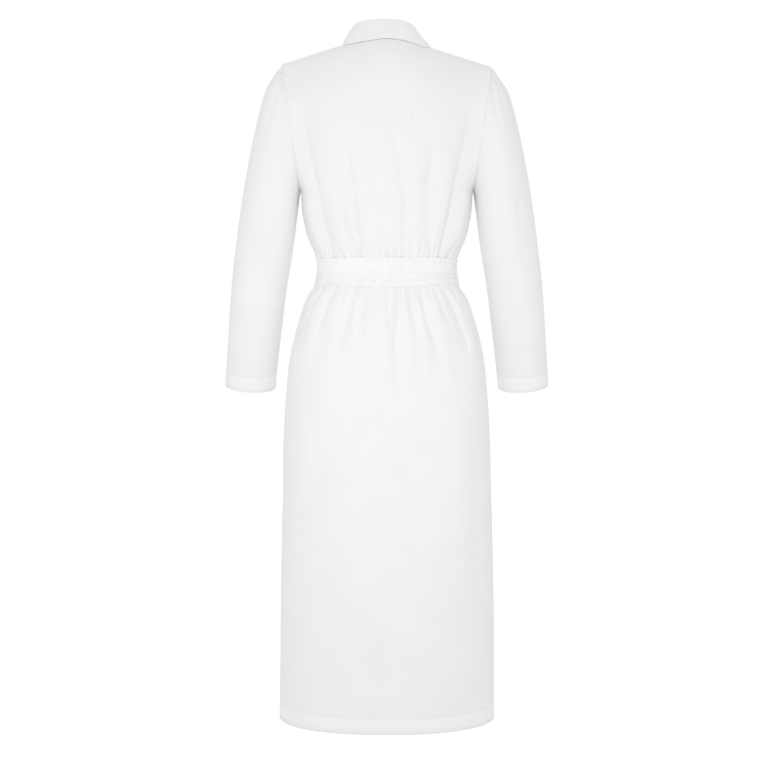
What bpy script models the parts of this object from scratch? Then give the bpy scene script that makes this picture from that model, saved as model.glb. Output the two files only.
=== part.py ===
"""A nurse's uniform dress with long sleeves, a shirt collar and an elasticated waist.

Metres, +Z up. The dress faces -Y, so the wearer's left side is +X. The origin is the middle of
the shoulder line. Heights are given as "down", the distance below that line.
"""

import math

import bmesh
import bpy
import numpy as np

COLLECTION = "nurse_uniform_dress"

# Cloth: one wall for every panel, and the gap that parts two pieces at a seam
WALL = 0.0013
GAP = 0.0003
SQUARENESS = 2.3

# Shoulders and neck
SHOULDER_HALF = 0.1810
SHOULDER_DOWN = 0.0300
SHOULDER_ROUND = 0.1000
SHOULDER_SEAM_HALF_GAP = 0.00052
NECK_HALF = 0.0670
NECK_SIDE_DOWN = -0.0040
NECK_REACH = {"back": 0.0560, "front": 0.0655}

# Armhole: a leaning oval from the shoulder point to the underarm
UNDERARM_HALF = 0.1500
UNDERARM_DOWN = 0.2550
ARMHOLE_HALF_DEPTH = 0.0600
ARMHOLE_EDGE_POWER = 6

# Waist and hem
WAIST_DOWN = 0.3830
BAND_FOOT_DOWN = 0.4300
HEM_DOWN = 1.1670
FRONT_LAP = 0.0100

# How finely each wall is divided
ARMHOLE_STEPS = 12
SIDE_STEPS = 4
NECK_COLUMNS = 6
SHOULDER_COLUMNS = 9
SKIRT_BACK_COLUMNS = 36
SKIRT_FRONT_COLUMNS = 18


def table(columns, *rows):
    """The rows as one array for each named column. The first column rises."""
    return dict(zip(columns.split(), np.array(rows, float).T))


BODICE = table(
    "down back front",
    (-0.024, 0.094, 0.066),
    (0.050, 0.095, 0.068),
    (0.090, 0.097, 0.080),
    (0.140, 0.098, 0.102),
    (0.190, 0.098, 0.117),
    (0.250, 0.094, 0.121),
    (0.320, 0.089, 0.106),
    (0.383, 0.0865, 0.095),
)

BODICE_SIDE = table(
    "down half_width",
    (0.255, 0.1500),
    (0.287, 0.1480),
    (0.320, 0.1420),
    (0.338, 0.1370),
    (0.355, 0.1300),
    (0.373, 0.1235),
    (0.383, 0.1215),
)

WAISTBAND = table(
    "down half_width back front",
    (0.383, 0.1215, 0.0865, 0.095),
    (0.405, 0.1225, 0.0870, 0.095),
    (0.430, 0.1310, 0.0910, 0.098),
)

SKIRT = table(
    "down half_width back front seam",
    (BAND_FOOT_DOWN, 0.1310, 0.091, 0.098, 0.010),
    (0.443, 0.1390, 0.095, 0.100, 0.018),
    (0.460, 0.1445, 0.100, 0.103, 0.025),
    (0.495, 0.1570, 0.108, 0.108, 0.034),
    (0.530, 0.1660, 0.114, 0.111, 0.038),
    (0.560, 0.1710, 0.117, 0.113, 0.038),
    (0.618, 0.1760, 0.121, 0.116, 0.034),
    (0.688, 0.1800, 0.124, 0.120, 0.020),
    (0.758, 0.1815, 0.126, 0.123, 0.006),
    (0.898, 0.1845, 0.129, 0.128, 0.002),
    (1.030, 0.1862, 0.133, 0.132, 0.002),
    (HEM_DOWN, 0.1870, 0.136, 0.135, 0.002),
)
SKIRT_ROWS = (
    BAND_FOOT_DOWN + GAP, 0.440, 0.454, 0.471, 0.491, 0.515, 0.545, 0.585, 0.650, 0.760, 0.900,
    1.030, HEM_DOWN,
)  # fmt: skip

# A sleeve's rings, each from its outer to its inner edge, as seen from behind. "pitch" lowers
# the ring's back edge where the forearm leans forward.
SLEEVE = table(
    "along outer outer_down inner inner_down half_depth middle pitch",
    (0.000, 0.1810, 0.030, 0.1500, 0.2550, 0.060, 0.000, 0.0),
    (0.022, 0.1965, 0.046, 0.1515, 0.2580, 0.063, 0.000, 0.0),
    (0.052, 0.2105, 0.073, 0.1522, 0.2610, 0.065, 0.000, 0.0),
    (0.085, 0.2195, 0.105, 0.1530, 0.2660, 0.066, 0.000, 0.0),
    (0.126, 0.2290, 0.145, 0.1538, 0.2740, 0.064, 0.001, 0.0),
    (0.172, 0.2385, 0.190, 0.1550, 0.2850, 0.061, 0.002, 0.0),
    (0.223, 0.2475, 0.240, 0.1570, 0.3020, 0.057, 0.003, 0.0),
    (0.284, 0.2570, 0.300, 0.1602, 0.3300, 0.053, 0.002, 2.0),
    (0.355, 0.2662, 0.370, 0.1670, 0.3780, 0.050, -0.002, 6.0),
    (0.428, 0.2738, 0.443, 0.1775, 0.4460, 0.047, -0.012, 11.0),
    (0.505, 0.2805, 0.520, 0.1890, 0.5230, 0.045, -0.026, 14.0),
    (0.575, 0.2865, 0.590, 0.1985, 0.5970, 0.043, -0.042, 15.0),
)
SLEEVE_ROWS = (
    0.000, 0.0016, 0.018, 0.040, 0.066, 0.094, 0.126, 0.160, 0.198,
    0.240, 0.284, 0.330, 0.376, 0.424, 0.470, 0.512, 0.550, 0.575,
)  # fmt: skip
SLEEVE_SEAM_LIFT = 0.0005
HEAD_PLEATS_ROUND = 12
HEAD_PLEAT_DEPTH = 0.0022
HEAD_PLEAT_LENGTH = 0.085
HEAD_PLEAT_SPREAD = math.radians(80)

# Folds: each runs from its free tip, over a middle point, to its foot at the waistband. A
# positive height is a ridge and a negative one is a trough. "across" is +X.
FOLD_COLUMNS = "tip_across tip_down mid_across mid_down foot_across foot_down height half_width"
BACK_BODICE_FOLDS = table(
    FOLD_COLUMNS,
    (0.148, 0.090, 0.124, 0.262, 0.092, 0.383, -0.0065, 0.0110),
    (0.160, 0.150, 0.140, 0.275, 0.105, 0.383, 0.0060, 0.0120),
    (0.094, 0.235, 0.074, 0.306, 0.050, 0.383, -0.0050, 0.0090),
    (0.080, 0.130, 0.060, 0.255, 0.045, 0.383, -0.0035, 0.0120),
    (0.110, 0.170, 0.085, 0.285, 0.066, 0.383, 0.0050, 0.0120),
    (0.035, 0.180, 0.025, 0.290, 0.018, 0.383, 0.0040, 0.0120),
    (-0.001, 0.085, -0.015, 0.240, -0.027, 0.383, -0.0055, 0.0120),
    (-0.048, 0.150, -0.048, 0.280, -0.048, 0.383, 0.0045, 0.0130),
    (-0.083, 0.150, -0.074, 0.236, -0.070, 0.383, -0.0045, 0.0110),
    (-0.112, 0.170, -0.098, 0.285, -0.080, 0.383, 0.0040, 0.0100),
    (-0.145, 0.100, -0.121, 0.262, -0.091, 0.383, -0.0065, 0.0110),
    (-0.158, 0.150, -0.140, 0.275, -0.106, 0.383, 0.0055, 0.0120),
)
FRONT_BODICE_FOLDS = table(
    FOLD_COLUMNS,
    (0.138, 0.150, 0.122, 0.275, 0.098, 0.383, -0.0055, 0.0110),
    (0.108, 0.230, 0.097, 0.300, 0.080, 0.383, 0.0045, 0.0110),
    (0.088, 0.240, 0.078, 0.310, 0.062, 0.383, -0.0055, 0.0090),
    (0.058, 0.260, 0.052, 0.320, 0.044, 0.383, 0.0040, 0.0100),
    (0.036, 0.270, 0.034, 0.330, 0.030, 0.383, -0.0040, 0.0080),
    (-0.034, 0.275, -0.032, 0.330, -0.029, 0.383, -0.0040, 0.0080),
    (-0.055, 0.250, -0.050, 0.315, -0.043, 0.383, 0.0040, 0.0100),
    (-0.085, 0.245, -0.074, 0.312, -0.060, 0.383, -0.0055, 0.0090),
    (-0.110, 0.225, -0.098, 0.300, -0.080, 0.383, 0.0045, 0.0110),
    (-0.140, 0.160, -0.124, 0.275, -0.097, 0.383, -0.0055, 0.0110),
)
BACK_SKIRT_FOLDS = table(
    FOLD_COLUMNS,
    (0.142, 0.600, 0.130, 0.510, 0.104, 0.430, 0.0060, 0.0120),
    (0.121, 0.530, 0.111, 0.480, 0.092, 0.430, -0.0060, 0.0090),
    (0.104, 0.640, 0.094, 0.520, 0.074, 0.430, 0.0055, 0.0120),
    (0.086, 0.570, 0.070, 0.490, 0.054, 0.430, -0.0060, 0.0090),
    (0.062, 0.620, 0.054, 0.510, 0.042, 0.430, 0.0050, 0.0100),
    (0.040, 0.580, 0.038, 0.500, 0.033, 0.430, -0.0055, 0.0090),
    (0.010, 0.640, 0.008, 0.520, 0.008, 0.430, 0.0050, 0.0130),
    (-0.062, 0.900, -0.016, 0.600, -0.017, 0.430, -0.0060, 0.0120),
    (-0.045, 0.640, -0.036, 0.510, -0.027, 0.430, 0.0045, 0.0090),
    (-0.060, 0.560, -0.046, 0.490, -0.037, 0.430, -0.0050, 0.0080),
    (-0.076, 0.620, -0.062, 0.510, -0.047, 0.430, 0.0050, 0.0090),
    (-0.096, 0.570, -0.074, 0.500, -0.056, 0.430, -0.0060, 0.0090),
    (-0.112, 0.620, -0.096, 0.510, -0.074, 0.430, 0.0050, 0.0110),
    (-0.146, 0.580, -0.122, 0.480, -0.091, 0.430, -0.0065, 0.0100),
    (-0.150, 0.640, -0.140, 0.510, -0.108, 0.430, 0.0050, 0.0110),
)
FRONT_SKIRT_FOLDS = table(
    FOLD_COLUMNS,
    (0.140, 0.590, 0.128, 0.505, 0.104, 0.430, 0.0055, 0.0120),
    (0.118, 0.545, 0.108, 0.485, 0.090, 0.430, -0.0060, 0.0090),
    (0.098, 0.630, 0.090, 0.520, 0.074, 0.430, 0.0055, 0.0120),
    (0.078, 0.590, 0.068, 0.500, 0.056, 0.430, -0.0060, 0.0090),
    (0.056, 0.640, 0.050, 0.520, 0.042, 0.430, 0.0050, 0.0100),
    (0.040, 0.560, 0.036, 0.490, 0.031, 0.430, -0.0045, 0.0080),
    (-0.038, 0.570, -0.035, 0.495, -0.031, 0.430, -0.0045, 0.0080),
    (-0.058, 0.630, -0.052, 0.520, -0.043, 0.430, 0.0050, 0.0100),
    (-0.080, 0.600, -0.069, 0.505, -0.056, 0.430, -0.0060, 0.0090),
    (-0.100, 0.640, -0.090, 0.515, -0.073, 0.430, 0.0055, 0.0120),
    (-0.120, 0.540, -0.108, 0.480, -0.090, 0.430, -0.0060, 0.0090),
    (-0.142, 0.600, -0.128, 0.505, -0.103, 0.430, 0.0055, 0.0120),
)
FOLD_EDGE_FADE = 0.12

# Waistband: an elastic casing whose outside is puckered into even ribs
PUCKERS = 74
PUCKER_HEIGHT = 0.0012
BAND_ROWS = (0.3837, 0.4060, 0.4293)
BAND_END_FADE = 0.012

# Collar: a wall that stands up from the neck seam, folds over and falls outside
STAND_SEAM_LIFT = 0.0013
COLLAR_WALL = 0.0014
FOLD_HALF = 0.0570
FOLD_REACH = {"back": 0.0530, "front": 0.0610}
FOLD_BACK_DOWN = -0.0335
FOLD_FRONT_DROP = 0.0620
FOLD_DROP_POWER = 3.0
FOLD_OPENING = 0.0050
COLLAR_END = math.radians(175)
COLLAR_STEPS = 34
FALL_CLEARANCE = 0.0030
FALL_STEP = 0.0005
FALL_BOW = 0.0025
FALL_EDGE = table(
    "turn across down back",
    (0.0, 0.0000, 0.0060, 0.0680),
    (35.0, 0.0470, 0.0050, 0.0570),
    (65.0, 0.0730, 0.0010, 0.0300),
    (90.0, 0.0790, -0.0035, 0.0000),
    (120.0, 0.0790, 0.0140, -0.0400),
    (150.0, 0.0690, 0.0520, -0.0680),
    (175.0, 0.0500, 0.0900, -0.0820),
)

# Placket and buttons down the centre front
PLACKET_HALF = 0.0150
PLACKET_TOP_DOWN = 0.0540
PLACKET_WALL = 0.0016
PLACKET_GAP = 0.0006
BUTTON_COUNT = 11
BUTTON_FIRST_DOWN = 0.0850
BUTTON_PITCH = 0.0960
BUTTON_RADIUS = 0.0075
BUTTON_THICKNESS = 0.0030
BUTTON_BEVEL = 0.0008
BUTTON_SIDES = 14

CLOTH_COLOUR = (0.86, 0.87, 0.88, 1.0)
BUTTON_COLOUR = (0.88, 0.88, 0.87, 1.0)


def read(columns, name, at):
    """A column's value at places along the first column, on a smooth curve that never overshoots."""
    x, y = next(iter(columns.values())), columns[name]
    at = np.clip(np.asarray(at, float), x[0], x[-1])
    step = np.diff(x)
    rise = np.diff(y) / step
    slope = np.zeros(len(x))
    slope[0], slope[-1] = rise[0], rise[-1]
    before, after = rise[:-1], rise[1:]
    same = before * after > 0
    slope[1:-1][same] = 2 * before[same] * after[same] / (before + after)[same]
    i = np.clip(np.searchsorted(x, at, side="right") - 1, 0, len(step) - 1)
    t = (at - x[i]) / step[i]
    low, high = y[i], y[i + 1]
    pull_low, pull_high = slope[i] * step[i], slope[i + 1] * step[i]
    blend = t * t * (3 - 2 * t)
    return low + (high - low) * blend + t * (1 - t) * ((1 - t) * pull_low - t * pull_high)


def smoothstep(value):
    """0 below 0, 1 above 1, and a smooth rise between."""
    t = np.clip(value, 0, 1)
    return t * t * (3 - 2 * t)


def clear_scene():
    """Removes every object, so that only the dress is left."""
    for obj in list(bpy.data.objects):
        bpy.data.objects.remove(obj, do_unlink=True)


def make_material(name, colour, roughness):
    """A plain Principled material."""
    material = bpy.data.materials.new(name)
    material.use_nodes = True
    shader = material.node_tree.nodes["Principled BSDF"]
    shader.inputs["Base Color"].default_value = colour
    shader.inputs["Roughness"].default_value = roughness
    shader.inputs["Metallic"].default_value = 0.0
    return material


def grid_object(name, points, collection, material, closed_round=False):
    """A mesh over a grid of points, rows by columns. It may close round its columns."""
    rows, columns = points.shape[:2]
    mesh = bpy.data.meshes.new(name)
    model = bmesh.new()
    corners = [[model.verts.new(p) for p in row] for row in points]
    last = columns if closed_round else columns - 1
    for r in range(rows - 1):
        for c in range(last):
            d = (c + 1) % columns
            model.faces.new((corners[r][c], corners[r + 1][c], corners[r + 1][d], corners[r][d]))
    model.to_mesh(mesh)
    model.free()
    mesh.materials.append(material)
    mesh.shade_smooth()
    obj = bpy.data.objects.new(name, mesh)
    collection.objects.link(obj)
    return obj


def give_wall(obj, thickness, offset=-1.0):
    """Turns an open surface into a closed wall, by default on its inner side."""
    wall = obj.modifiers.new("wall", "SOLIDIFY")
    wall.thickness = thickness
    wall.offset = offset
    wall.use_even_offset = False
    return obj


def outward(points, closed_round=False):
    """Unit vectors that stand on a grid of points, away from the dress's inside."""
    down = np.gradient(points, axis=0)
    if closed_round:
        across = (np.roll(points, -1, axis=1) - np.roll(points, 1, axis=1)) / 2
    else:
        across = np.gradient(points, axis=1)
    normal = np.cross(down, across)
    return normal / np.linalg.norm(normal, axis=2, keepdims=True)


def fold_height(folds, across, down):
    """How far the folds lift the cloth at places on it."""
    lift = np.zeros(np.broadcast(across, down).shape)
    for i in range(len(folds["height"])):
        row = {name: column[i] for name, column in folds.items()}
        heights = np.array([row["tip_down"], row["mid_down"], row["foot_down"]])
        places = np.array([row["tip_across"], row["mid_across"], row["foot_across"]])
        order = np.argsort(heights)
        line = np.interp(down, heights[order], places[order])
        share = (down - row["tip_down"]) / (row["foot_down"] - row["tip_down"])
        lift += (
            row["height"]
            * smoothstep(share * 1.6)
            * np.exp(-(((across - line) / row["half_width"]) ** 2))
        )
    return lift


def armhole_depth(edge_down):
    """Half the armhole's depth at a height of the bodice's edge, and 0 below the underarm."""
    middle = (SHOULDER_DOWN + UNDERARM_DOWN) / 2
    half = (UNDERARM_DOWN - SHOULDER_DOWN) / 2
    inside = np.clip(1 - ((edge_down - middle) / half) ** 2, 0, 1)
    return ARMHOLE_HALF_DEPTH * np.sqrt(inside)


def edge_half_width(edge_down):
    """Half the bodice's width at its edge: the armhole's line, then the side seam."""
    share = (edge_down - SHOULDER_DOWN) / (UNDERARM_DOWN - SHOULDER_DOWN)
    armhole = SHOULDER_HALF + share * (UNDERARM_HALF - SHOULDER_HALF)
    return np.where(share < 1, armhole, read(BODICE_SIDE, "half_width", edge_down))


def neck_ellipse(across):
    """1 at the middle of the neck, and 0 from its sides outwards."""
    return np.sqrt(np.clip(1 - (across / NECK_HALF) ** 2, 0, 1))


def shoulder_line(across):
    """The height of the shoulders' ridge, which goes on rising to the middle of the neck."""
    slope = (SHOULDER_DOWN - NECK_SIDE_DOWN) / (SHOULDER_HALF - NECK_HALF)
    return NECK_SIDE_DOWN + slope * (across - NECK_HALF)


def rounded_reach(x_top, down, face):
    """How far the surface stands from the shoulder line's plane, rounded over the shoulders."""
    from_ridge = np.clip(1 - (down - shoulder_line(x_top)) / SHOULDER_ROUND, 0, 1)
    return read(BODICE, face, down) * np.sqrt(1 - from_ridge**2)


def top_down(x_top, face):
    """The height of the panel's top edge: the shoulder seam, and the neckline cut in the surface."""
    section = np.clip(1 - (x_top / SHOULDER_HALF) ** SQUARENESS, 0, 1) ** (1 / SQUARENESS)
    wanted = NECK_REACH[face] * neck_ellipse(x_top)
    high = shoulder_line(x_top)
    low = high + SHOULDER_ROUND
    for _ in range(40):
        middle = (high + low) / 2
        short = rounded_reach(x_top, middle, face) * section < wanted
        high, low = np.where(short, middle, high), np.where(short, low, middle)
    return high


def bodice_point(across_share, edge_down, sign, face):
    """Points of the bodice. across_share is 0 at the centre and 1 at its edge, and edge_down
    is the height of the edge's end of the row, which the shoulder's slope bends upwards."""
    share = np.abs(across_share)
    x_top = share * SHOULDER_HALF
    top = top_down(x_top, face)
    down = top + (edge_down - SHOULDER_DOWN) * (WAIST_DOWN - top) / (WAIST_DOWN - SHOULDER_DOWN)
    side = armhole_depth(edge_down)
    section = np.clip(1 - share**SQUARENESS, 0, 1) ** (1 / SQUARENESS)
    depth = np.hypot(rounded_reach(x_top, down, face) * section, side * share**ARMHOLE_EDGE_POWER)
    shoulder_gap = np.where(x_top > NECK_HALF * 0.98, SHOULDER_SEAM_HALF_GAP, 0)
    depth = np.maximum(depth, shoulder_gap)
    x = across_share * edge_half_width(edge_down) * sign
    return np.stack(np.broadcast_arrays(x, depth if face == "back" else -depth, -down), axis=-1)


def front_reach(across, down):
    """The Y of the bodice's, band's or skirt's front surface at places near its centre."""
    across, down = np.broadcast_arrays(np.asarray(across, float), np.asarray(down, float))
    edge = down.copy()
    for _ in range(8):
        share = np.clip(np.abs(across) / edge_half_width(edge), 0, 1)
        top = top_down(share * SHOULDER_HALF, "front")
        edge = SHOULDER_DOWN + (down - top) * (WAIST_DOWN - SHOULDER_DOWN) / (WAIST_DOWN - top)
        edge = np.clip(edge, SHOULDER_DOWN, WAIST_DOWN)
    on_bodice = bodice_point(share, edge, 1.0, "front")[..., 1]
    lower = np.where(down < BAND_FOOT_DOWN, read(WAISTBAND, "front", down), read(SKIRT, "front", down))
    width = np.where(
        down < BAND_FOOT_DOWN, read(WAISTBAND, "half_width", down), read(SKIRT, "half_width", down)
    )
    section = np.clip(1 - (np.abs(across) / width) ** SQUARENESS, 0, 1) ** (1 / SQUARENESS)
    return np.where(down < WAIST_DOWN, on_bodice, -lower * section)


def bodice_columns(start):
    """Shares from the line x = start to the panel's edge. They crowd towards the neck's side,
    where the neckline turns most, and one lies where the neck meets the shoulder."""
    turns = np.linspace(math.asin(start / NECK_HALF), math.pi / 2, NECK_COLUMNS + 1)
    neck = (NECK_HALF * np.sin(turns) - start) / (SHOULDER_HALF - start)
    shoulder = np.linspace(neck[-1], 1, SHOULDER_COLUMNS + 1)
    return np.concatenate([neck, shoulder[1:]])


def bodice_edge_rows():
    """The heights of the rows at the panel's edge: round the armhole, then down the side seam."""
    turns = np.linspace(0, math.pi, ARMHOLE_STEPS + 1)
    half = (UNDERARM_DOWN - SHOULDER_DOWN) / 2
    armhole = SHOULDER_DOWN + half * (1 - np.cos(turns))
    side = np.linspace(UNDERARM_DOWN, WAIST_DOWN, SIDE_STEPS + 1)
    return np.concatenate([armhole, side[1:]])


def folded(points, folds, fade, closed_round=False):
    """The grid with its folds lifted along its normals, less where fade is small."""
    lift = fold_height(folds, points[..., 0], -points[..., 2]) * fade
    return points + outward(points, closed_round) * lift[..., None]


def make_bodice(collection, cloth):
    """The back and the two fronts, from the neck and shoulders to the waist."""
    rows = bodice_edge_rows()[:, None]
    side_gap = GAP * 0.6
    half = bodice_columns(0.0)
    shares = np.concatenate([-half[:0:-1], half])[None, :]
    back = bodice_point(shares, rows, 1.0, "back")
    below = rows > UNDERARM_DOWN - 1e-6
    edge_fade = smoothstep((1 - np.abs(shares)) / FOLD_EDGE_FADE) * smoothstep((rows - 0.05) / 0.06)
    back = folded(back[:, ::-1], BACK_BODICE_FOLDS, edge_fade[:, ::-1])
    back[..., 1] += np.where(below & (np.abs(shares[:, ::-1]) > 0.99), side_gap, 0)
    give_wall(grid_object("bodice_back", back, collection, cloth), WALL)
    for name, sign, start in (("left", 1.0, -FRONT_LAP), ("right", -1.0, FRONT_LAP + GAP)):
        columns = bodice_columns(start)[None, :]
        edge = edge_half_width(rows)
        shares = (start + columns * (edge - start)) / edge
        front = bodice_point(shares, rows, sign, "front")
        centre = smoothstep((np.abs(front[..., 0]) - PLACKET_HALF) / 0.012)
        fade = smoothstep((1 - shares) / FOLD_EDGE_FADE) * smoothstep((rows - 0.05) / 0.06) * centre
        if sign < 0:
            front, fade = front[:, ::-1], fade[:, ::-1]
            shares = shares[:, ::-1]
        front = folded(front, FRONT_BODICE_FOLDS, fade)
        front[..., 1] -= np.where(below & (shares > 0.99), side_gap, 0)
        give_wall(grid_object(f"bodice_front_{name}", front, collection, cloth), WALL)


def section_point(turn, down, sizes):
    """Points round the waistband or the skirt. turn is 0 at the centre back and grows to +X."""
    power = 2 / SQUARENESS
    across = np.sign(np.sin(turn)) * np.abs(np.sin(turn)) ** power
    depth = np.sign(np.cos(turn)) * np.abs(np.cos(turn)) ** power
    reach = np.where(np.cos(turn) >= 0, read(sizes, "back", down), read(sizes, "front", down))
    x = read(sizes, "half_width", down) * across
    return np.stack(np.broadcast_arrays(x, reach * depth, -down), axis=-1)


def front_edge_turn(half_width, start):
    """The turn at which a section reaches x = start, near the centre front."""
    share = (abs(start) / half_width) ** (SQUARENESS / 2)
    return math.pi - np.sign(start) * np.arcsin(share)


def make_skirt(collection, cloth):
    """The back and the two fronts of the skirt, gathered into the waistband."""
    rows = np.array(SKIRT_ROWS)[:, None]
    width, back, seam = (read(SKIRT, name, rows) for name in ("half_width", "back", "seam"))
    seam_turn = np.arccos((seam / back) ** (SQUARENESS / 2))
    gap_turn = 0.6 * GAP / back
    shares = np.linspace(-1, 1, SKIRT_BACK_COLUMNS + 1)[None, ::-1]
    points = section_point(shares * (seam_turn - gap_turn), rows, SKIRT)
    fade = smoothstep((1 - np.abs(shares)) / 0.06)
    points = folded(points, BACK_SKIRT_FOLDS, fade)
    give_wall(grid_object("skirt_back", points, collection, cloth), WALL)
    for name, sign, start in (("left", 1.0, -FRONT_LAP), ("right", -1.0, FRONT_LAP + GAP)):
        end = front_edge_turn(width, start)
        shares = np.linspace(0, 1, SKIRT_FRONT_COLUMNS + 1)[None, :]
        turn = seam_turn + gap_turn + shares * (end - seam_turn - gap_turn)
        points = section_point(sign * turn, rows, SKIRT)
        centre = smoothstep((np.abs(points[..., 0]) - PLACKET_HALF) / 0.012)
        fade = smoothstep(shares / 0.12) * centre
        if sign > 0:
            points, fade = points[:, ::-1], fade[:, ::-1]
        points = folded(points, FRONT_SKIRT_FOLDS, fade)
        give_wall(grid_object(f"skirt_front_{name}", points, collection, cloth), WALL)


def make_waistband(collection, cloth):
    """The elastic casing: a plain inside and an outside puckered into ribs, open at the front."""
    rows = np.array(BAND_ROWS)[:, None]
    width = read(WAISTBAND, "half_width", rows)
    left_end = front_edge_turn(width, -FRONT_LAP)
    right_end = -front_edge_turn(width, FRONT_LAP + GAP)
    count = 2 * PUCKERS
    shares = np.linspace(0, 1, count + 1)[None, :]
    turn = left_end + shares * (right_end - left_end)
    inner_face = section_point(turn, rows, WAISTBAND)
    normal = outward(inner_face)
    ribs = (np.arange(count + 1) % 2)[None, :]
    beside_placket = smoothstep((np.abs(inner_face[..., 0]) - PLACKET_HALF) / BAND_END_FADE)
    fade = np.where(inner_face[..., 1] < 0, beside_placket, 1)
    lift = PUCKER_HEIGHT * ribs * fade
    outer = inner_face + normal * lift[..., None]
    inner = inner_face - normal * WALL
    loop = np.concatenate([outer, inner[::-1]], axis=0)
    mesh_loop = np.concatenate([loop, loop[:1]], axis=0)
    obj = grid_object("waistband", mesh_loop, collection, cloth)
    close_ends(obj)


def close_ends(obj):
    """Welds a wall's last row to its first and fills the holes at its two ends."""
    model = bmesh.new()
    model.from_mesh(obj.data)
    bmesh.ops.remove_doubles(model, verts=model.verts, dist=1e-7)
    edges = [edge for edge in model.edges if edge.is_boundary]
    bmesh.ops.holes_fill(model, edges=edges, sides=0)
    bmesh.ops.triangulate(model, faces=[face for face in model.faces if len(face.verts) > 4])
    model.to_mesh(obj.data)
    model.free()


def sleeve_points(turns, along, sign):
    """Points of a sleeve. A turn of 0 is the outer edge, and a quarter turn is the back."""
    outer, outer_down, inner, inner_down, half_depth, middle, pitch = (
        read(SLEEVE, name, along)
        for name in ("outer", "outer_down", "inner", "inner_down", "half_depth", "middle", "pitch")
    )
    pitch = np.radians(pitch)
    reach = np.sin(turns) * half_depth
    x = (outer + inner) / 2 + np.cos(turns) * (outer - inner) / 2
    y = middle + reach * np.cos(pitch)
    down = (outer_down + inner_down) / 2 + np.cos(turns) * (outer_down - inner_down) / 2
    down = down + reach * np.sin(pitch)
    return np.stack(np.broadcast_arrays(sign * x, y, -down), axis=-1)


def make_sleeves(collection, cloth):
    """Two sleeves, each a tube from the armhole to the wrist with a pleated head."""
    along = np.array(SLEEVE_ROWS)[:, None]
    turns = np.linspace(0, 2 * math.pi, 2 * ARMHOLE_STEPS, endpoint=False)[None, :]
    wrapped = (turns + math.pi) % (2 * math.pi) - math.pi
    on_head = smoothstep(1.6 * (1 - np.abs(wrapped) / HEAD_PLEAT_SPREAD))
    fade = smoothstep(along / 0.014) * (1 - smoothstep(along / HEAD_PLEAT_LENGTH))
    pleat = HEAD_PLEAT_DEPTH * np.cos(HEAD_PLEATS_ROUND * turns) * on_head * fade
    for name, sign in (("left", 1.0), ("right", -1.0)):
        points = sleeve_points(turns, along, sign)
        points[..., 0] += sign * (SLEEVE_SEAM_LIFT + np.where(along < 0.002, along, 0))
        points[1] = points[0] + np.array([sign * SLEEVE_ROWS[1], 0, 0])
        if sign < 0:
            points, lift = points[:, ::-1], pleat[:, ::-1]
        else:
            lift = pleat
        points = points + outward(points, True) * lift[..., None]
        give_wall(grid_object(f"sleeve_{name}", points, collection, cloth, True), WALL)


def ring_point(turn, half, reach, down):
    """Points of an oval round the neck."""
    depth = np.where(np.cos(turn) >= 0, reach["back"], reach["front"]) * np.cos(turn)
    return np.stack(np.broadcast_arrays(half * np.sin(turn), depth, -down), axis=-1)


def make_collar(collection, cloth):
    """The stand, the fold and the fall as one wall, from one front end to the other."""
    turn = np.linspace(COLLAR_END, -COLLAR_END, COLLAR_STEPS + 1)
    cosine = np.cos(turn)
    neck_across = NECK_HALF * np.abs(np.sin(turn))
    seam_down = np.where(cosine >= 0, top_down(neck_across, "back"), top_down(neck_across, "front"))
    seam = ring_point(turn, NECK_HALF - STAND_SEAM_LIFT, NECK_REACH, seam_down - STAND_SEAM_LIFT)
    seam[:, 1] *= 1 - STAND_SEAM_LIFT / NECK_REACH["back"]
    drop = FOLD_FRONT_DROP * ((1 - cosine) / 2) ** FOLD_DROP_POWER
    fold = ring_point(turn, FOLD_HALF, FOLD_REACH, FOLD_BACK_DOWN + drop)
    size = np.degrees(np.abs(turn))
    across = read(FALL_EDGE, "across", size) * np.sign(turn)
    edge = np.stack([across, read(FALL_EDGE, "back", size), -read(FALL_EDGE, "down", size)], axis=-1)
    out = np.stack([np.sin(turn), cosine, np.zeros_like(turn)], axis=-1)
    up = np.array([0.0, 0.0, 1.0])
    rise = FOLD_OPENING / 2
    stand_mid = (seam + fold) / 2
    stand_top = fold - out * rise - up * rise * 1.6
    fold_top = fold.copy()
    fall_top = fold + out * rise - up * rise * 1.6
    fall_mid = (fall_top + edge) / 2 + out * FALL_BOW
    fall_low = fall_top * 0.2 + edge * 0.8 + out * FALL_BOW * 0.6
    rows = [seam, stand_mid, stand_top, fold_top, fall_top, fall_mid, fall_low, edge]
    for row in rows[5:]:
        keep_off_front(row)
    points = np.stack(rows)[::-1, ::-1]
    give_wall(grid_object("collar", points, collection, cloth), COLLAR_WALL, 0.0)


def keep_off_front(row):
    """Moves points of the fall up and forward until they clear the shoulders and the front."""
    lean = math.sqrt(0.5)
    for point in row:
        while point[1] < -0.001:
            behind = point[1] + FALL_CLEARANCE * lean
            if behind < front_reach(point[0], -point[2] + FALL_CLEARANCE * lean):
                break
            point += np.array([0.0, -lean, lean]) * FALL_STEP


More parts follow.
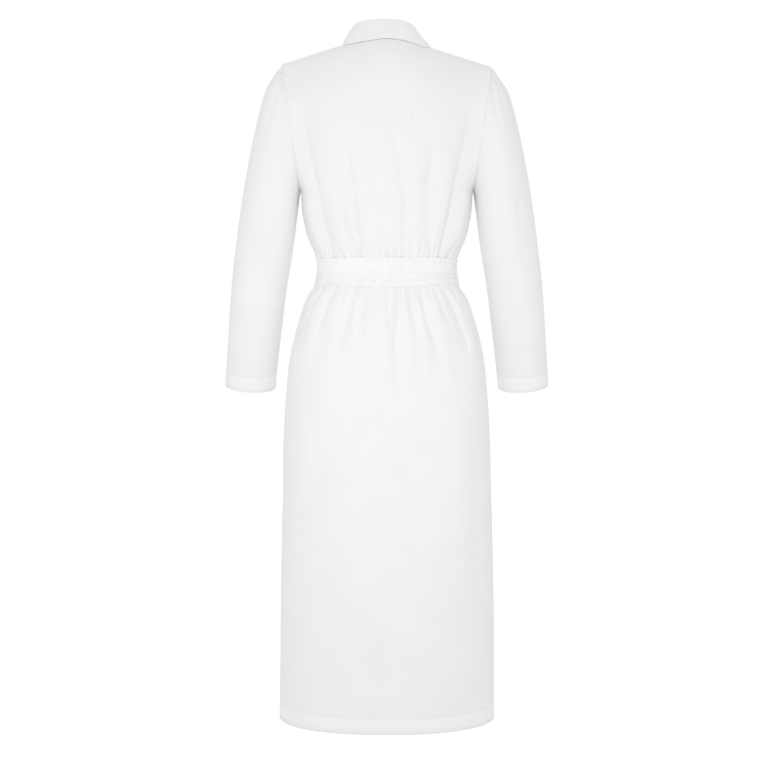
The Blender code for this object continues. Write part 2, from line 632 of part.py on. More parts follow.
def make_placket(collection, cloth):
    """The band over the centre-front join, from its neck end to the hem."""
    bodice = -bodice_point(0.0, bodice_edge_rows(), 1.0, "front")[:, 2]
    bodice = bodice[bodice > PLACKET_TOP_DOWN + WALL]
    rows = np.concatenate([[PLACKET_TOP_DOWN], bodice, BAND_ROWS[1:], SKIRT_ROWS[1:]])[:, None]
    across = np.linspace(PLACKET_HALF, -PLACKET_HALF, 5)[None, :]
    reach = front_reach(across, rows)
    x = np.broadcast_to(across, reach.shape)
    points = np.stack([x, reach, np.broadcast_to(-rows, reach.shape)], axis=-1)[:, ::-1]
    points = points + outward(points) * (PLACKET_GAP + PLACKET_WALL)
    give_wall(grid_object("placket", points, collection, cloth), PLACKET_WALL)


def make_buttons(collection, material):
    """Round flat buttons on the placket, each turned to lie along it."""
    for i in range(BUTTON_COUNT):
        down = BUTTON_FIRST_DOWN + i * BUTTON_PITCH
        places = BUTTON_RADIUS * np.linspace(-1, 1, 5)
        reach = front_reach(0.0, down + places)
        slope = (reach[-1] - reach[0]) / (places[-1] - places[0])
        middle = (reach - slope * places).min()
        lean = math.atan(slope)
        mesh = bpy.data.meshes.new(f"button_{i + 1:02d}")
        model = bmesh.new()
        bmesh.ops.create_cone(
            model,
            cap_ends=True,
            segments=BUTTON_SIDES,
            radius1=BUTTON_RADIUS,
            radius2=BUTTON_RADIUS,
            depth=BUTTON_THICKNESS,
        )
        model.to_mesh(mesh)
        model.free()
        mesh.materials.append(material)
        mesh.shade_smooth()
        mesh.set_sharp_from_angle(angle=math.radians(40))
        button = bpy.data.objects.new(mesh.name, mesh)
        stand_off = PLACKET_GAP + PLACKET_WALL + GAP + BUTTON_THICKNESS / 2
        button.location = (
            0.0,
            middle - stand_off * math.cos(lean),
            -down - stand_off * math.sin(lean),
        )
        button.rotation_euler = (math.pi / 2 + lean, 0.0, 0.0)
        bevel = button.modifiers.new("soft edge", "BEVEL")
        bevel.width = BUTTON_BEVEL
        bevel.segments = 1
        bevel.limit_method = "ANGLE"
        collection.objects.link(button)


def main():
    clear_scene()
    collection = bpy.data.collections.new(COLLECTION)
    bpy.context.scene.collection.children.link(collection)
    cloth = make_material("white_cloth", CLOTH_COLOUR, 0.85)
    plastic = make_material("white_button", BUTTON_COLOUR, 0.35)
    make_bodice(collection, cloth)
    make_waistband(collection, cloth)
    make_skirt(collection, cloth)
    make_sleeves(collection, cloth)
    make_collar(collection, cloth)
    make_placket(collection, cloth)
    make_buttons(collection, plastic)


main()
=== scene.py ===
"""Looks of a nurse's uniform dress: its cloth, gathers, seams, stitching, buttons and studio.

Metres, +Z up. The dress faces -Y, so the wearer's left side is +X. Heights are given as "down",
the distance below the shoulder line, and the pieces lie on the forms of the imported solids.
"""

import math

import bmesh
import bpy
import numpy as np
from bpy.props import FloatProperty, FloatVectorProperty, IntProperty, PointerProperty
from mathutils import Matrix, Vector


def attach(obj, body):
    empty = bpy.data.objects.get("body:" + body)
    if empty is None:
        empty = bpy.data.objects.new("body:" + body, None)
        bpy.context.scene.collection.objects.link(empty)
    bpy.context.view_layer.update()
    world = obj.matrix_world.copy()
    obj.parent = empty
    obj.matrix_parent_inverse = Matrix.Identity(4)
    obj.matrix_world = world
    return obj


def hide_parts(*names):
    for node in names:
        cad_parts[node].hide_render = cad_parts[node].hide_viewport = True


bl_info = {
    "name": "Nurse uniform dress",
    "version": (1, 0, 0),
    "blender": (4, 5, 0),
    "location": "3D View > Sidebar > Dress",
    "description": "Builds the cloth, gathers, stitching and buttons of a white uniform dress",
    "category": "Add Mesh",
}

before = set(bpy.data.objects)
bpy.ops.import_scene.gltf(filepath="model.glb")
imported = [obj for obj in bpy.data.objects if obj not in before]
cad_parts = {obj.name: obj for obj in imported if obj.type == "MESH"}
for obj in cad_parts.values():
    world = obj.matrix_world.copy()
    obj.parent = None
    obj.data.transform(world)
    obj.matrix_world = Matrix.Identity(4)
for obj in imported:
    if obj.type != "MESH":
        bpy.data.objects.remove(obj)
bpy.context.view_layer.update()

# Form of the body, as the solids have it
SQUARENESS = 2.3
SHOULDER_HALF = 0.1810
SHOULDER_DOWN = 0.0300
SHOULDER_ROUND = 0.1000
RIDGE_ROUND = 0.0120
SHOULDER_SEAM_HALF_GAP = 0.00010
NECK_HALF = 0.0670
NECK_SIDE_DOWN = -0.0040
NECK_REACH = {"back": 0.0560, "front": 0.0655}
UNDERARM_HALF = 0.1500
UNDERARM_DOWN = 0.2550
ARMHOLE_HALF_DEPTH = 0.0600
ARMHOLE_EDGE_POWER = 6
WAIST_DOWN = 0.3830
BAND_FOOT_DOWN = 0.4300
HEM_DOWN = 1.1670
FRONT_LAP = 0.0100
GAP = 0.0003


def table(columns, *rows):
    """The rows as one array for each named column."""
    return dict(zip(columns.split(), np.array(rows, float).T))


BODICE = table(
    "down back front",
    (-0.024, 0.094, 0.066),
    (0.050, 0.095, 0.068),
    (0.090, 0.097, 0.080),
    (0.140, 0.098, 0.102),
    (0.190, 0.098, 0.117),
    (0.250, 0.094, 0.121),
    (0.320, 0.089, 0.106),
    (0.383, 0.0865, 0.095),
)
BODICE_SIDE = table(
    "down half_width",
    (0.255, 0.1500),
    (0.287, 0.1480),
    (0.320, 0.1420),
    (0.338, 0.1370),
    (0.355, 0.1300),
    (0.373, 0.1235),
    (0.383, 0.1215),
)
WAISTBAND = table(
    "down half_width back front",
    (0.383, 0.1215, 0.0865, 0.095),
    (0.405, 0.1225, 0.0870, 0.095),
    (0.430, 0.1310, 0.0910, 0.098),
)
SKIRT = table(
    "down half_width back front seam",
    (BAND_FOOT_DOWN, 0.1310, 0.091, 0.098, 0.010),
    (0.443, 0.1390, 0.095, 0.100, 0.018),
    (0.460, 0.1445, 0.100, 0.103, 0.025),
    (0.495, 0.1570, 0.108, 0.108, 0.034),
    (0.530, 0.1660, 0.114, 0.111, 0.038),
    (0.560, 0.1710, 0.117, 0.113, 0.038),
    (0.618, 0.1760, 0.121, 0.116, 0.034),
    (0.688, 0.1800, 0.124, 0.120, 0.020),
    (0.758, 0.1815, 0.126, 0.123, 0.006),
    (0.898, 0.1845, 0.129, 0.128, 0.002),
    (1.030, 0.1862, 0.133, 0.132, 0.002),
    (HEM_DOWN, 0.1870, 0.136, 0.135, 0.002),
)
SLEEVE = table(
    "along outer outer_down inner inner_down half_depth middle pitch",
    (0.000, 0.1810, 0.030, 0.1500, 0.2550, 0.060, 0.000, 0.0),
    (0.022, 0.1965, 0.046, 0.1515, 0.2580, 0.063, 0.000, 0.0),
    (0.052, 0.2105, 0.073, 0.1522, 0.2610, 0.065, 0.000, 0.0),
    (0.085, 0.2195, 0.105, 0.1530, 0.2660, 0.066, 0.000, 0.0),
    (0.126, 0.2290, 0.145, 0.1538, 0.2740, 0.064, 0.001, 0.0),
    (0.172, 0.2385, 0.190, 0.1550, 0.2850, 0.061, 0.002, 0.0),
    (0.223, 0.2475, 0.240, 0.1570, 0.3020, 0.057, 0.003, 0.0),
    (0.284, 0.2570, 0.300, 0.1602, 0.3300, 0.053, 0.002, 2.0),
    (0.355, 0.2662, 0.370, 0.1670, 0.3780, 0.050, -0.002, 6.0),
    (0.428, 0.2738, 0.443, 0.1775, 0.4460, 0.047, -0.012, 11.0),
    (0.505, 0.2805, 0.520, 0.1890, 0.5230, 0.045, -0.026, 14.0),
    (0.575, 0.2865, 0.590, 0.1985, 0.5970, 0.043, -0.042, 15.0),
)
SLEEVE_LENGTH = 0.575

# Collar: the stand, the fold line round the neck and the fall's outer edge
STAND_SEAM_LIFT = 0.0004
FOLD_HALF = 0.0570
FOLD_REACH = {"back": 0.0530, "front": 0.0610}
FOLD_BACK_DOWN = -0.0335
FOLD_FRONT_DROP = 0.0620
FOLD_DROP_POWER = 3.0
FOLD_OPENING = 0.0050
COLLAR_END = math.radians(179.8)
FALL_CLEARANCE = 0.0030
FALL_STEP = 0.00025
FALL_BOW = 0.0014
COLLAR_BACK_CLEARANCE = 0.0012
COLLAR_FRONT_LIE = 0.75
FALL_EDGE = table(
    "turn across down back",
    (-35.0, -0.0450, 0.0042, 0.0575),
    (0.0, 0.0000, 0.0008, 0.0680),
    (35.0, 0.0450, 0.0042, 0.0575),
    (65.0, 0.0715, 0.0062, 0.0380),
    (90.0, 0.0775, -0.0022, 0.0000),
    (120.0, 0.0790, 0.0140, -0.0400),
    (150.0, 0.0690, 0.0520, -0.0680),
    (175.0, 0.0500, 0.0900, -0.0820),
)

# Placket and buttons
PLACKET_HALF = 0.0150
PLACKET_TOP_DOWN = 0.0540
PLACKET_WALL = 0.0016
PLACKET_GAP = 0.0006
BUTTON_COUNT = 11
BUTTON_FIRST_DOWN = 0.0850
BUTTON_PITCH = 0.0960
BUTTON_RADIUS = 0.0075
BUTTON_THICKNESS = 0.0030

# Large folds, each from its free tip over a middle point to its foot at the waistband
FOLD_COLUMNS = "tip_across tip_down mid_across mid_down foot_across foot_down height half_width"
BACK_BODICE_FOLDS = table(
    FOLD_COLUMNS,
    (0.148, 0.090, 0.124, 0.262, 0.092, 0.383, -0.0065, 0.0110),
    (0.160, 0.150, 0.140, 0.275, 0.105, 0.383, 0.0060, 0.0120),
    (0.094, 0.235, 0.074, 0.306, 0.050, 0.383, -0.0050, 0.0090),
    (0.080, 0.130, 0.060, 0.255, 0.045, 0.383, -0.0035, 0.0120),
    (0.110, 0.170, 0.085, 0.285, 0.066, 0.383, 0.0050, 0.0120),
    (0.035, 0.180, 0.025, 0.290, 0.018, 0.383, 0.0040, 0.0120),
    (-0.001, 0.085, -0.015, 0.240, -0.027, 0.383, -0.0055, 0.0120),
    (-0.048, 0.150, -0.048, 0.280, -0.048, 0.383, 0.0045, 0.0130),
    (-0.083, 0.150, -0.074, 0.236, -0.070, 0.383, -0.0045, 0.0110),
    (-0.112, 0.170, -0.098, 0.285, -0.080, 0.383, 0.0040, 0.0100),
    (-0.145, 0.100, -0.121, 0.262, -0.091, 0.383, -0.0065, 0.0110),
    (-0.158, 0.150, -0.140, 0.275, -0.106, 0.383, 0.0055, 0.0120),
)
FRONT_BODICE_FOLDS = table(
    FOLD_COLUMNS,
    (0.138, 0.150, 0.122, 0.275, 0.098, 0.383, -0.0055, 0.0110),
    (0.108, 0.230, 0.097, 0.300, 0.080, 0.383, 0.0045, 0.0110),
    (0.088, 0.240, 0.078, 0.310, 0.062, 0.383, -0.0055, 0.0090),
    (0.058, 0.260, 0.052, 0.320, 0.044, 0.383, 0.0040, 0.0100),
    (0.036, 0.270, 0.034, 0.330, 0.030, 0.383, -0.0040, 0.0080),
    (-0.034, 0.275, -0.032, 0.330, -0.029, 0.383, -0.0040, 0.0080),
    (-0.055, 0.250, -0.050, 0.315, -0.043, 0.383, 0.0040, 0.0100),
    (-0.085, 0.245, -0.074, 0.312, -0.060, 0.383, -0.0055, 0.0090),
    (-0.110, 0.225, -0.098, 0.300, -0.080, 0.383, 0.0045, 0.0110),
    (-0.140, 0.160, -0.124, 0.275, -0.097, 0.383, -0.0055, 0.0110),
)
BACK_SKIRT_FOLDS = table(
    FOLD_COLUMNS,
    (0.142, 0.600, 0.130, 0.510, 0.104, 0.430, 0.0060, 0.0120),
    (0.121, 0.530, 0.111, 0.480, 0.092, 0.430, -0.0060, 0.0090),
    (0.104, 0.640, 0.094, 0.520, 0.074, 0.430, 0.0055, 0.0120),
    (0.086, 0.570, 0.070, 0.490, 0.054, 0.430, -0.0060, 0.0090),
    (0.062, 0.620, 0.054, 0.510, 0.042, 0.430, 0.0050, 0.0100),
    (0.040, 0.580, 0.038, 0.500, 0.033, 0.430, -0.0055, 0.0090),
    (0.010, 0.640, 0.008, 0.520, 0.008, 0.430, 0.0050, 0.0130),
    (-0.030, 0.700, -0.016, 0.600, -0.017, 0.430, -0.0060, 0.0120),
    (-0.045, 0.640, -0.036, 0.510, -0.027, 0.430, 0.0045, 0.0090),
    (-0.060, 0.560, -0.046, 0.490, -0.037, 0.430, -0.0050, 0.0080),
    (-0.076, 0.620, -0.062, 0.510, -0.047, 0.430, 0.0050, 0.0090),
    (-0.096, 0.570, -0.074, 0.500, -0.056, 0.430, -0.0060, 0.0090),
    (-0.112, 0.620, -0.096, 0.510, -0.074, 0.430, 0.0050, 0.0110),
    (-0.146, 0.580, -0.122, 0.480, -0.091, 0.430, -0.0065, 0.0100),
    (-0.150, 0.640, -0.140, 0.510, -0.108, 0.430, 0.0050, 0.0110),
)
FRONT_SKIRT_FOLDS = table(
    FOLD_COLUMNS,
    (0.140, 0.590, 0.128, 0.505, 0.104, 0.430, 0.0055, 0.0120),
    (0.118, 0.545, 0.108, 0.485, 0.090, 0.430, -0.0060, 0.0090),
    (0.098, 0.630, 0.090, 0.520, 0.074, 0.430, 0.0055, 0.0120),
    (0.078, 0.590, 0.068, 0.500, 0.056, 0.430, -0.0060, 0.0090),
    (0.056, 0.640, 0.050, 0.520, 0.042, 0.430, 0.0050, 0.0100),
    (0.040, 0.560, 0.036, 0.490, 0.031, 0.430, -0.0045, 0.0080),
    (-0.038, 0.570, -0.035, 0.495, -0.031, 0.430, -0.0045, 0.0080),
    (-0.058, 0.630, -0.052, 0.520, -0.043, 0.430, 0.0050, 0.0100),
    (-0.080, 0.600, -0.069, 0.505, -0.056, 0.430, -0.0060, 0.0090),
    (-0.100, 0.640, -0.090, 0.515, -0.073, 0.430, 0.0055, 0.0120),
    (-0.120, 0.540, -0.108, 0.480, -0.090, 0.430, -0.0060, 0.0090),
    (-0.142, 0.600, -0.128, 0.505, -0.103, 0.430, 0.0055, 0.0120),
)

# Creases: sharper lines placed on the folds. Each runs from its free tip over two points
# to its foot. "hold" is the share of its height that is left at the foot.
CREASE_COLUMNS = "d1 x1 d2 x2 d3 x3 d4 x4 height half_width hold"
BACK_BODICE_CREASES = table(
    CREASE_COLUMNS,
    (0.088, 0.148, 0.201, 0.134, 0.313, 0.109, 0.383, 0.091, -0.0030, 0.0040, 1),
    (0.243, 0.094, 0.281, 0.080, 0.306, 0.0745, 0.383, 0.049, -0.0030, 0.0035, 1),
    (0.135, 0.080, 0.191, 0.0685, 0.288, 0.0534, 0.383, 0.045, -0.0028, 0.0040, 1),
    (0.325, 0.138, 0.348, 0.128, 0.362, 0.122, 0.383, 0.110, -0.0030, 0.0032, 1),
    (0.325, 0.099, 0.345, 0.091, 0.362, 0.0824, 0.383, 0.070, -0.0024, 0.0030, 1),
    (0.340, 0.046, 0.355, 0.040, 0.366, 0.035, 0.383, 0.031, -0.0026, 0.0030, 1),
    (0.085, -0.001, 0.191, -0.0134, 0.281, -0.026, 0.383, -0.0268, -0.0031, 0.0040, 1),
    (0.345, 0.002, 0.358, 0.000, 0.368, -0.002, 0.383, -0.0034, -0.0022, 0.0026, 1),
    (0.095, -0.034, 0.120, -0.041, 0.148, -0.047, 0.180, -0.0535, -0.0019, 0.0055, 0),
    (0.325, -0.045, 0.342, -0.042, 0.362, -0.039, 0.383, -0.037, -0.0024, 0.0028, 1),
    (0.150, -0.083, 0.191, -0.0785, 0.236, -0.0716, 0.290, -0.062, -0.0024, 0.0060, 0),
    (0.325, -0.078, 0.345, -0.0755, 0.362, -0.0735, 0.383, -0.071, -0.0026, 0.0030, 1),
    (0.100, -0.145, 0.212, -0.126, 0.308, -0.106, 0.383, -0.087, -0.0030, 0.0038, 1),
    (0.325, -0.129, 0.345, -0.121, 0.360, -0.114, 0.383, -0.100, -0.0024, 0.0032, 1),
    (0.350, -0.124, 0.362, -0.119, 0.374, -0.116, 0.383, -0.113, -0.0020, 0.0026, 1),
    (0.348, 0.066, 0.360, 0.063, 0.372, 0.060, 0.383, 0.058, -0.0018, 0.0026, 1),
    (0.352, 0.013, 0.362, 0.011, 0.372, 0.009, 0.383, 0.007, -0.0018, 0.0024, 1),
    (0.345, -0.012, 0.358, -0.0135, 0.370, -0.015, 0.383, -0.016, -0.0018, 0.0024, 1),
    (0.346, -0.062, 0.358, -0.060, 0.370, -0.057, 0.383, -0.055, -0.0018, 0.0026, 1),
    (0.300, 0.024, 0.325, 0.021, 0.350, 0.018, 0.383, 0.015, 0.0008, 0.0036, 1),
    (0.290, -0.050, 0.320, -0.049, 0.350, -0.050, 0.383, -0.050, 0.0008, 0.0036, 1),
)
FRONT_BODICE_CREASES = table(
    CREASE_COLUMNS,
    (0.130, 0.142, 0.215, 0.132, 0.300, 0.114, 0.383, 0.096, -0.0026, 0.0040, 1),
    (0.250, 0.092, 0.295, 0.082, 0.330, 0.074, 0.383, 0.061, -0.0022, 0.0034, 1),
    (0.318, 0.118, 0.340, 0.110, 0.360, 0.101, 0.383, 0.088, -0.0018, 0.0030, 1),
    (0.330, 0.062, 0.348, 0.057, 0.364, 0.052, 0.383, 0.047, -0.0016, 0.0028, 1),
    (0.290, 0.040, 0.320, 0.037, 0.350, 0.034, 0.383, 0.029, -0.0016, 0.0030, 1),
    (0.300, -0.037, 0.325, -0.036, 0.350, -0.033, 0.383, -0.030, -0.0018, 0.0030, 1),
    (0.325, -0.066, 0.345, -0.060, 0.364, -0.054, 0.383, -0.050, -0.0015, 0.0028, 1),
    (0.260, -0.089, 0.300, -0.080, 0.335, -0.071, 0.383, -0.059, -0.0022, 0.0034, 1),
    (0.330, -0.112, 0.348, -0.106, 0.362, -0.100, 0.383, -0.090, -0.0019, 0.0030, 1),
    (0.140, -0.143, 0.220, -0.133, 0.305, -0.113, 0.383, -0.096, -0.0026, 0.0040, 1),
)
BACK_SKIRT_CREASES = table(
    CREASE_COLUMNS,
    (0.560, 0.089, 0.506, 0.0745, 0.472, 0.0638, 0.430, 0.054, -0.0024, 0.0036, 1),
    (0.560, 0.040, 0.525, 0.0415, 0.485, 0.0374, 0.430, 0.033, -0.0030, 0.0034, 1),
    (0.680, -0.026, 0.603, -0.0163, 0.511, -0.0122, 0.430, -0.0176, -0.0034, 0.0038, 1),
    (0.980, -0.060, 0.810, -0.0500, 0.690, -0.0200, 0.580, -0.0140, -0.0056, 0.0320, 0),
    (0.880, 0.111, 0.780, 0.1160, 0.700, 0.1190, 0.620, 0.1200, -0.0022, 0.0160, 0),
    (1.050, -0.120, 0.900, -0.1250, 0.760, -0.1220, 0.600, -0.1180, 0.0042, 0.0300, 0),
    (0.530, 0.003, 0.505, 0.0034, 0.480, 0.0034, 0.452, 0.0034, 0.0018, 0.0040, 0),
    (0.520, 0.121, 0.485, 0.1114, 0.455, 0.099, 0.430, 0.090, -0.0026, 0.0034, 1),
    (0.548, -0.060, 0.503, -0.0503, 0.466, -0.040, 0.430, -0.0347, -0.0026, 0.0032, 1),
    (0.565, -0.096, 0.507, -0.0745, 0.466, -0.0624, 0.430, -0.0559, -0.0024, 0.0034, 1),
    (0.462, -0.080, 0.450, -0.075, 0.440, -0.071, 0.430, -0.067, -0.0018, 0.0026, 1),
    (0.512, -0.114, 0.479, -0.098, 0.454, -0.0888, 0.430, -0.079, -0.0022, 0.0032, 1),
    (0.575, -0.147, 0.510, -0.134, 0.464, -0.114, 0.430, -0.0928, -0.0026, 0.0036, 1),
    (0.500, 0.020, 0.475, 0.019, 0.452, 0.017, 0.430, 0.015, -0.0022, 0.0030, 1),
    (0.490, 0.083, 0.470, 0.079, 0.450, 0.075, 0.430, 0.071, -0.0014, 0.0030, 1),
    (0.495, -0.004, 0.475, -0.002, 0.452, -0.001, 0.430, -0.001, -0.0018, 0.0028, 1),
    (0.500, 0.143, 0.478, 0.133, 0.455, 0.121, 0.430, 0.109, -0.0018, 0.0030, 1),
    (0.490, -0.140, 0.470, -0.131, 0.450, -0.120, 0.430, -0.109, -0.0016, 0.0028, 1),
)
FRONT_SKIRT_CREASES = table(
    CREASE_COLUMNS,
    (0.545, 0.119, 0.500, 0.111, 0.465, 0.100, 0.430, 0.089, -0.0024, 0.0034, 1),
    (0.590, 0.079, 0.525, 0.071, 0.475, 0.063, 0.430, 0.055, -0.0024, 0.0034, 1),
    (0.520, 0.094, 0.490, 0.088, 0.460, 0.081, 0.430, 0.072, -0.0016, 0.0030, 1),
    (0.550, 0.040, 0.510, 0.037, 0.470, 0.034, 0.430, 0.030, -0.0020, 0.0032, 1),
    (0.500, 0.058, 0.478, 0.054, 0.455, 0.049, 0.430, 0.044, -0.0014, 0.0028, 1),
    (0.500, 0.138, 0.478, 0.129, 0.455, 0.119, 0.430, 0.108, -0.0018, 0.0030, 1),
    (0.560, -0.038, 0.515, -0.036, 0.470, -0.034, 0.430, -0.030, -0.0020, 0.0032, 1),
    (0.505, -0.057, 0.480, -0.053, 0.455, -0.048, 0.430, -0.043, -0.0014, 0.0028, 1),
    (0.600, -0.081, 0.530, -0.072, 0.475, -0.063, 0.430, -0.056, -0.0024, 0.0034, 1),
    (0.515, -0.098, 0.485, -0.090, 0.460, -0.082, 0.430, -0.074, -0.0016, 0.0030, 1),
    (0.540, -0.121, 0.500, -0.111, 0.465, -0.100, 0.430, -0.090, -0.0024, 0.0034, 1),
    (0.495, -0.137, 0.475, -0.129, 0.455, -0.119, 0.430, -0.108, -0.0018, 0.0030, 1),
)
# On the sleeves "x" is the distance from the middle of the body, on either side
LEFT_SLEEVE_BACK_CREASES = table(
    CREASE_COLUMNS,
    (0.190, 0.1910, 0.166, 0.1838, 0.110, 0.1738, 0.058, 0.1768, -0.0026, 0.0052, 1),
    (0.054, 0.1915, 0.045, 0.1862, 0.037, 0.1810, 0.030, 0.1759, -0.0036, 0.0060, 1),
    (0.118, 0.1860, 0.100, 0.1845, 0.080, 0.1845, 0.056, 0.1860, -0.0016, 0.0050, 1),
    (0.205, 0.1800, 0.175, 0.1740, 0.150, 0.1700, 0.118, 0.1650, -0.0026, 0.0070, 0),
    (0.190, 0.2130, 0.150, 0.2060, 0.110, 0.1960, 0.060, 0.1850, -0.0020, 0.0060, 1),
    (0.345, 0.2020, 0.330, 0.1960, 0.318, 0.1880, 0.305, 0.1780, -0.0018, 0.0080, 0),
    (0.395, 0.2300, 0.380, 0.2180, 0.368, 0.2060, 0.352, 0.1930, -0.0022, 0.0090, 0),
    (0.520, 0.2380, 0.470, 0.2320, 0.420, 0.2280, 0.350, 0.2220, -0.0014, 0.0110, 0),
)
RIGHT_SLEEVE_BACK_CREASES = table(
    CREASE_COLUMNS,
    (0.172, 0.1985, 0.147, 0.1908, 0.112, 0.1827, 0.047, 0.1800, -0.0034, 0.0052, 1),
    (0.170, 0.2310, 0.144, 0.2235, 0.110, 0.2150, 0.061, 0.2040, -0.0034, 0.0052, 1),
    (0.066, 0.2080, 0.058, 0.2010, 0.046, 0.1925, 0.033, 0.1785, -0.0045, 0.0065, 1),
    (0.150, 0.2090, 0.130, 0.2040, 0.100, 0.1980, 0.062, 0.1930, -0.0020, 0.0052, 1),
    (0.240, 0.1980, 0.205, 0.1900, 0.180, 0.1850, 0.150, 0.1790, -0.0018, 0.0070, 0),
    (0.350, 0.2360, 0.320, 0.2300, 0.290, 0.2270, 0.250, 0.2220, -0.0018, 0.0090, 0),
    (0.395, 0.2080, 0.382, 0.2190, 0.372, 0.2290, 0.358, 0.2400, -0.0016, 0.0090, 0),
    (0.520, 0.2300, 0.470, 0.2250, 0.430, 0.2200, 0.370, 0.2120, -0.0014, 0.0110, 0),
)
SLEEVE_FRONT_CREASES = table(
    CREASE_COLUMNS,
    (0.180, 0.1850, 0.150, 0.1800, 0.115, 0.1760, 0.066, 0.1735, -0.0024, 0.0045, 1),
    (0.165, 0.2020, 0.140, 0.1960, 0.110, 0.1890, 0.068, 0.1800, -0.0022, 0.0042, 1),
    (0.205, 0.2210, 0.172, 0.2150, 0.130, 0.2050, 0.064, 0.1870, -0.0022, 0.0050, 1),
    (0.330, 0.1980, 0.318, 0.1900, 0.306, 0.1800, 0.292, 0.1690, -0.0026, 0.0080, 0),
    (0.372, 0.2240, 0.358, 0.2120, 0.344, 0.1990, 0.330, 0.1830, -0.0030, 0.0080, 0),
    (0.412, 0.2330, 0.398, 0.2220, 0.384, 0.2090, 0.372, 0.1930, -0.0026, 0.0080, 0),
    (0.455, 0.2370, 0.441, 0.2270, 0.430, 0.2150, 0.418, 0.2020, -0.0018, 0.0090, 0),
)
FOLD_BAND_REACH = 0.042
CREASE_SHARPNESS = 0.66
CREASE_WANDER = 0.0009
CREASE_WANDER_LENGTH = 0.030

# Small gathers that stand beside a gathered seam: their spacing, height and reach from it
GATHERS = table(
    "spacing height reach",
    (0.0050, 0.00110, 0.0075),
    (0.0085, 0.00140, 0.0180),
    (0.0160, 0.00170, 0.0420),
)
# Broad unevenness of worn cloth: its length across, its length down and its height
UNEVENNESS = table(
    "across down height",
    (0.0900, 0.2600, 0.00110),
    (0.0300, 0.1500, 0.00035),
    (0.0110, 0.0500, 0.00010),
)

# Pleats folded into each sleeve's head, by their turn from the top of the armhole to the back
HEAD_PLEATS = table(
    "turn half_turn height reach",
    (-62.0, 7.0, 0.0020, 0.026),
    (-46.0, 7.0, 0.0026, 0.034),
    (-29.0, 7.0, 0.0030, 0.040),
    (-11.0, 6.0, 0.0026, 0.030),
    (11.0, 6.0, 0.0026, 0.032),
    (28.0, 7.0, 0.0034, 0.038),
    (45.0, 7.0, 0.0030, 0.034),
    (61.0, 7.0, 0.0022, 0.028),
)

HEAD_PLEAT_SINK = 0.0012

# How finely the cloth is divided
BODICE_ARMHOLE_STEPS = 66
BODICE_SIDE_STEPS = 48
BODICE_NECK_COLUMNS = 40
BODICE_SHOULDER_COLUMNS = 58
SKIRT_BACK_COLUMNS = 380
SKIRT_FRONT_COLUMNS = 140
SKIRT_ROWS_NEAR_BAND = 46
SKIRT_ROWS_BELOW = 52
SKIRT_GATHER_END = 0.600
SLEEVE_COLUMNS = 200
SLEEVE_HEAD_STEPS = 54
SLEEVE_STEPS = 58
BAND_COLUMNS = 780
COLLAR_COLUMNS = 260
COLLAR_ROWS_PER_GUIDE = 6
PLACKET_COLUMNS = 21
PLACKET_STEP = 0.0055

# Seams: the cloth rolls in beside each, within a reach
ARMHOLE_ROLL = 0.0003
SEAM_ROLL = 0.0007
SEAM_OVERLAP = 0.0001
SEAM_ROLL_REACH = 0.0022
BAND_TUCK = 0.0009
BAND_TUCK_REACH = 0.0045
FOOT_BEHIND_BAND = 0.0022
FOOT_INSIDE_BAND = 0.0013
SKIRT_TUCK = 0.0010
SKIRT_TUCK_REACH = 0.0030

# Waistband: its frill, its stitched channels and its puckers
FRILL_TOP_DOWN = 0.3785
FRILL_STAND_OFF = 0.0007
FRILL_FLARE = 0.0004
FRILL_WAVE = 0.0009
FRILL_RAGGEDNESS = 0.0011
BAND_FOOT_ROLL = 0.0005
FRILL_WAVE_SPACING = 0.0052
CHANNELS_DOWN = (0.3850, 0.4060, 0.4175, 0.4287)
CHANNEL_PINCH = 0.0007
CHANNEL_PINCH_REACH = 0.0016
PUCKER_SPACING = 0.0041
PUCKER_WANDER_LENGTH = 0.0120
BAND_STAND_OFF = 0.0001
# Painted light: the cloth's colour is brightened where it lies double, and by a share of that at the hems, in place
# of bounce light
DOUBLED_CLOTH_PAINTED_LIGHT = 1.045
HEM_PAINTED_LIGHT_SHARE = 0.65

# Hems and stitches
HEM_GAP = 0.0013
HEM_PLUMP = 0.0004
STITCH_GROOVE = 0.00016
STITCH_GROOVE_REACH = 0.0012
COLLAR_THICKNESS = 0.0014
COLLAR_STITCH_INSETS = (0.0040, 0.0095)
PLACKET_STITCH_INSET = 0.0030
SLEEVE_SEAM_LIFT = 0.0005
SLEEVE_TUCK = 0.0013
SLEEVE_TUCK_REACH = 0.0026

# Buttons: a quarter section as (radius, height) pairs, their holes and what is sewn round them
BUTTON_PROFILE = (
    (0.0, -0.0015),
    (0.0050, -0.0015),
    (0.0068, -0.0013),
    (0.0074, -0.0007),
    (0.0075, 0.0001),
    (0.0073, 0.0008),
    (0.0068, 0.0013),
    (0.0061, 0.0015),
    (0.0054, 0.0013),
    (0.0049, 0.0008),
    (0.0044, 0.0006),
    (0.0020, 0.0006),
    (0.0, 0.0006),
)
BUTTON_DISH = 0.0006
BUTTON_HOLE_RADIUS = 0.00085
BUTTON_HOLE_OFFSET = 0.00165
BUTTONHOLE_HALF_LENGTH = 0.0095
BUTTONHOLE_HALF_WIDTH = 0.0013

# How the dress hangs on its stand
SHOULDER_DROP = 0.0050
HEAD_NARROWING = 0.0034
FOOT_NARROWING = 0.042
COLLAR_SHIFT = 0.0045
BAND_RISE_MIDDLE = 0.0025
BAND_RISE_SIDE = 0.0080
BAND_RISE_REACH = 0.0500

# Camera and light
CAMERA_AT = (0.005, 2.200, -0.590)
CAMERA_ANGLE = math.radians(34)
FLOOR_DOWN = 1.560
FLOOR_HALF = 12.0
FLOOR_GLOW = 0.45
WORLD_LIGHT = 0.829
LIGHTS = table(
    "x y z size power aim_z",
    (0.10, 1.05, -0.44, 0.50, 1.84, -0.46),
    (-0.10, -1.05, -0.44, 0.50, 1.84, -0.46),
)


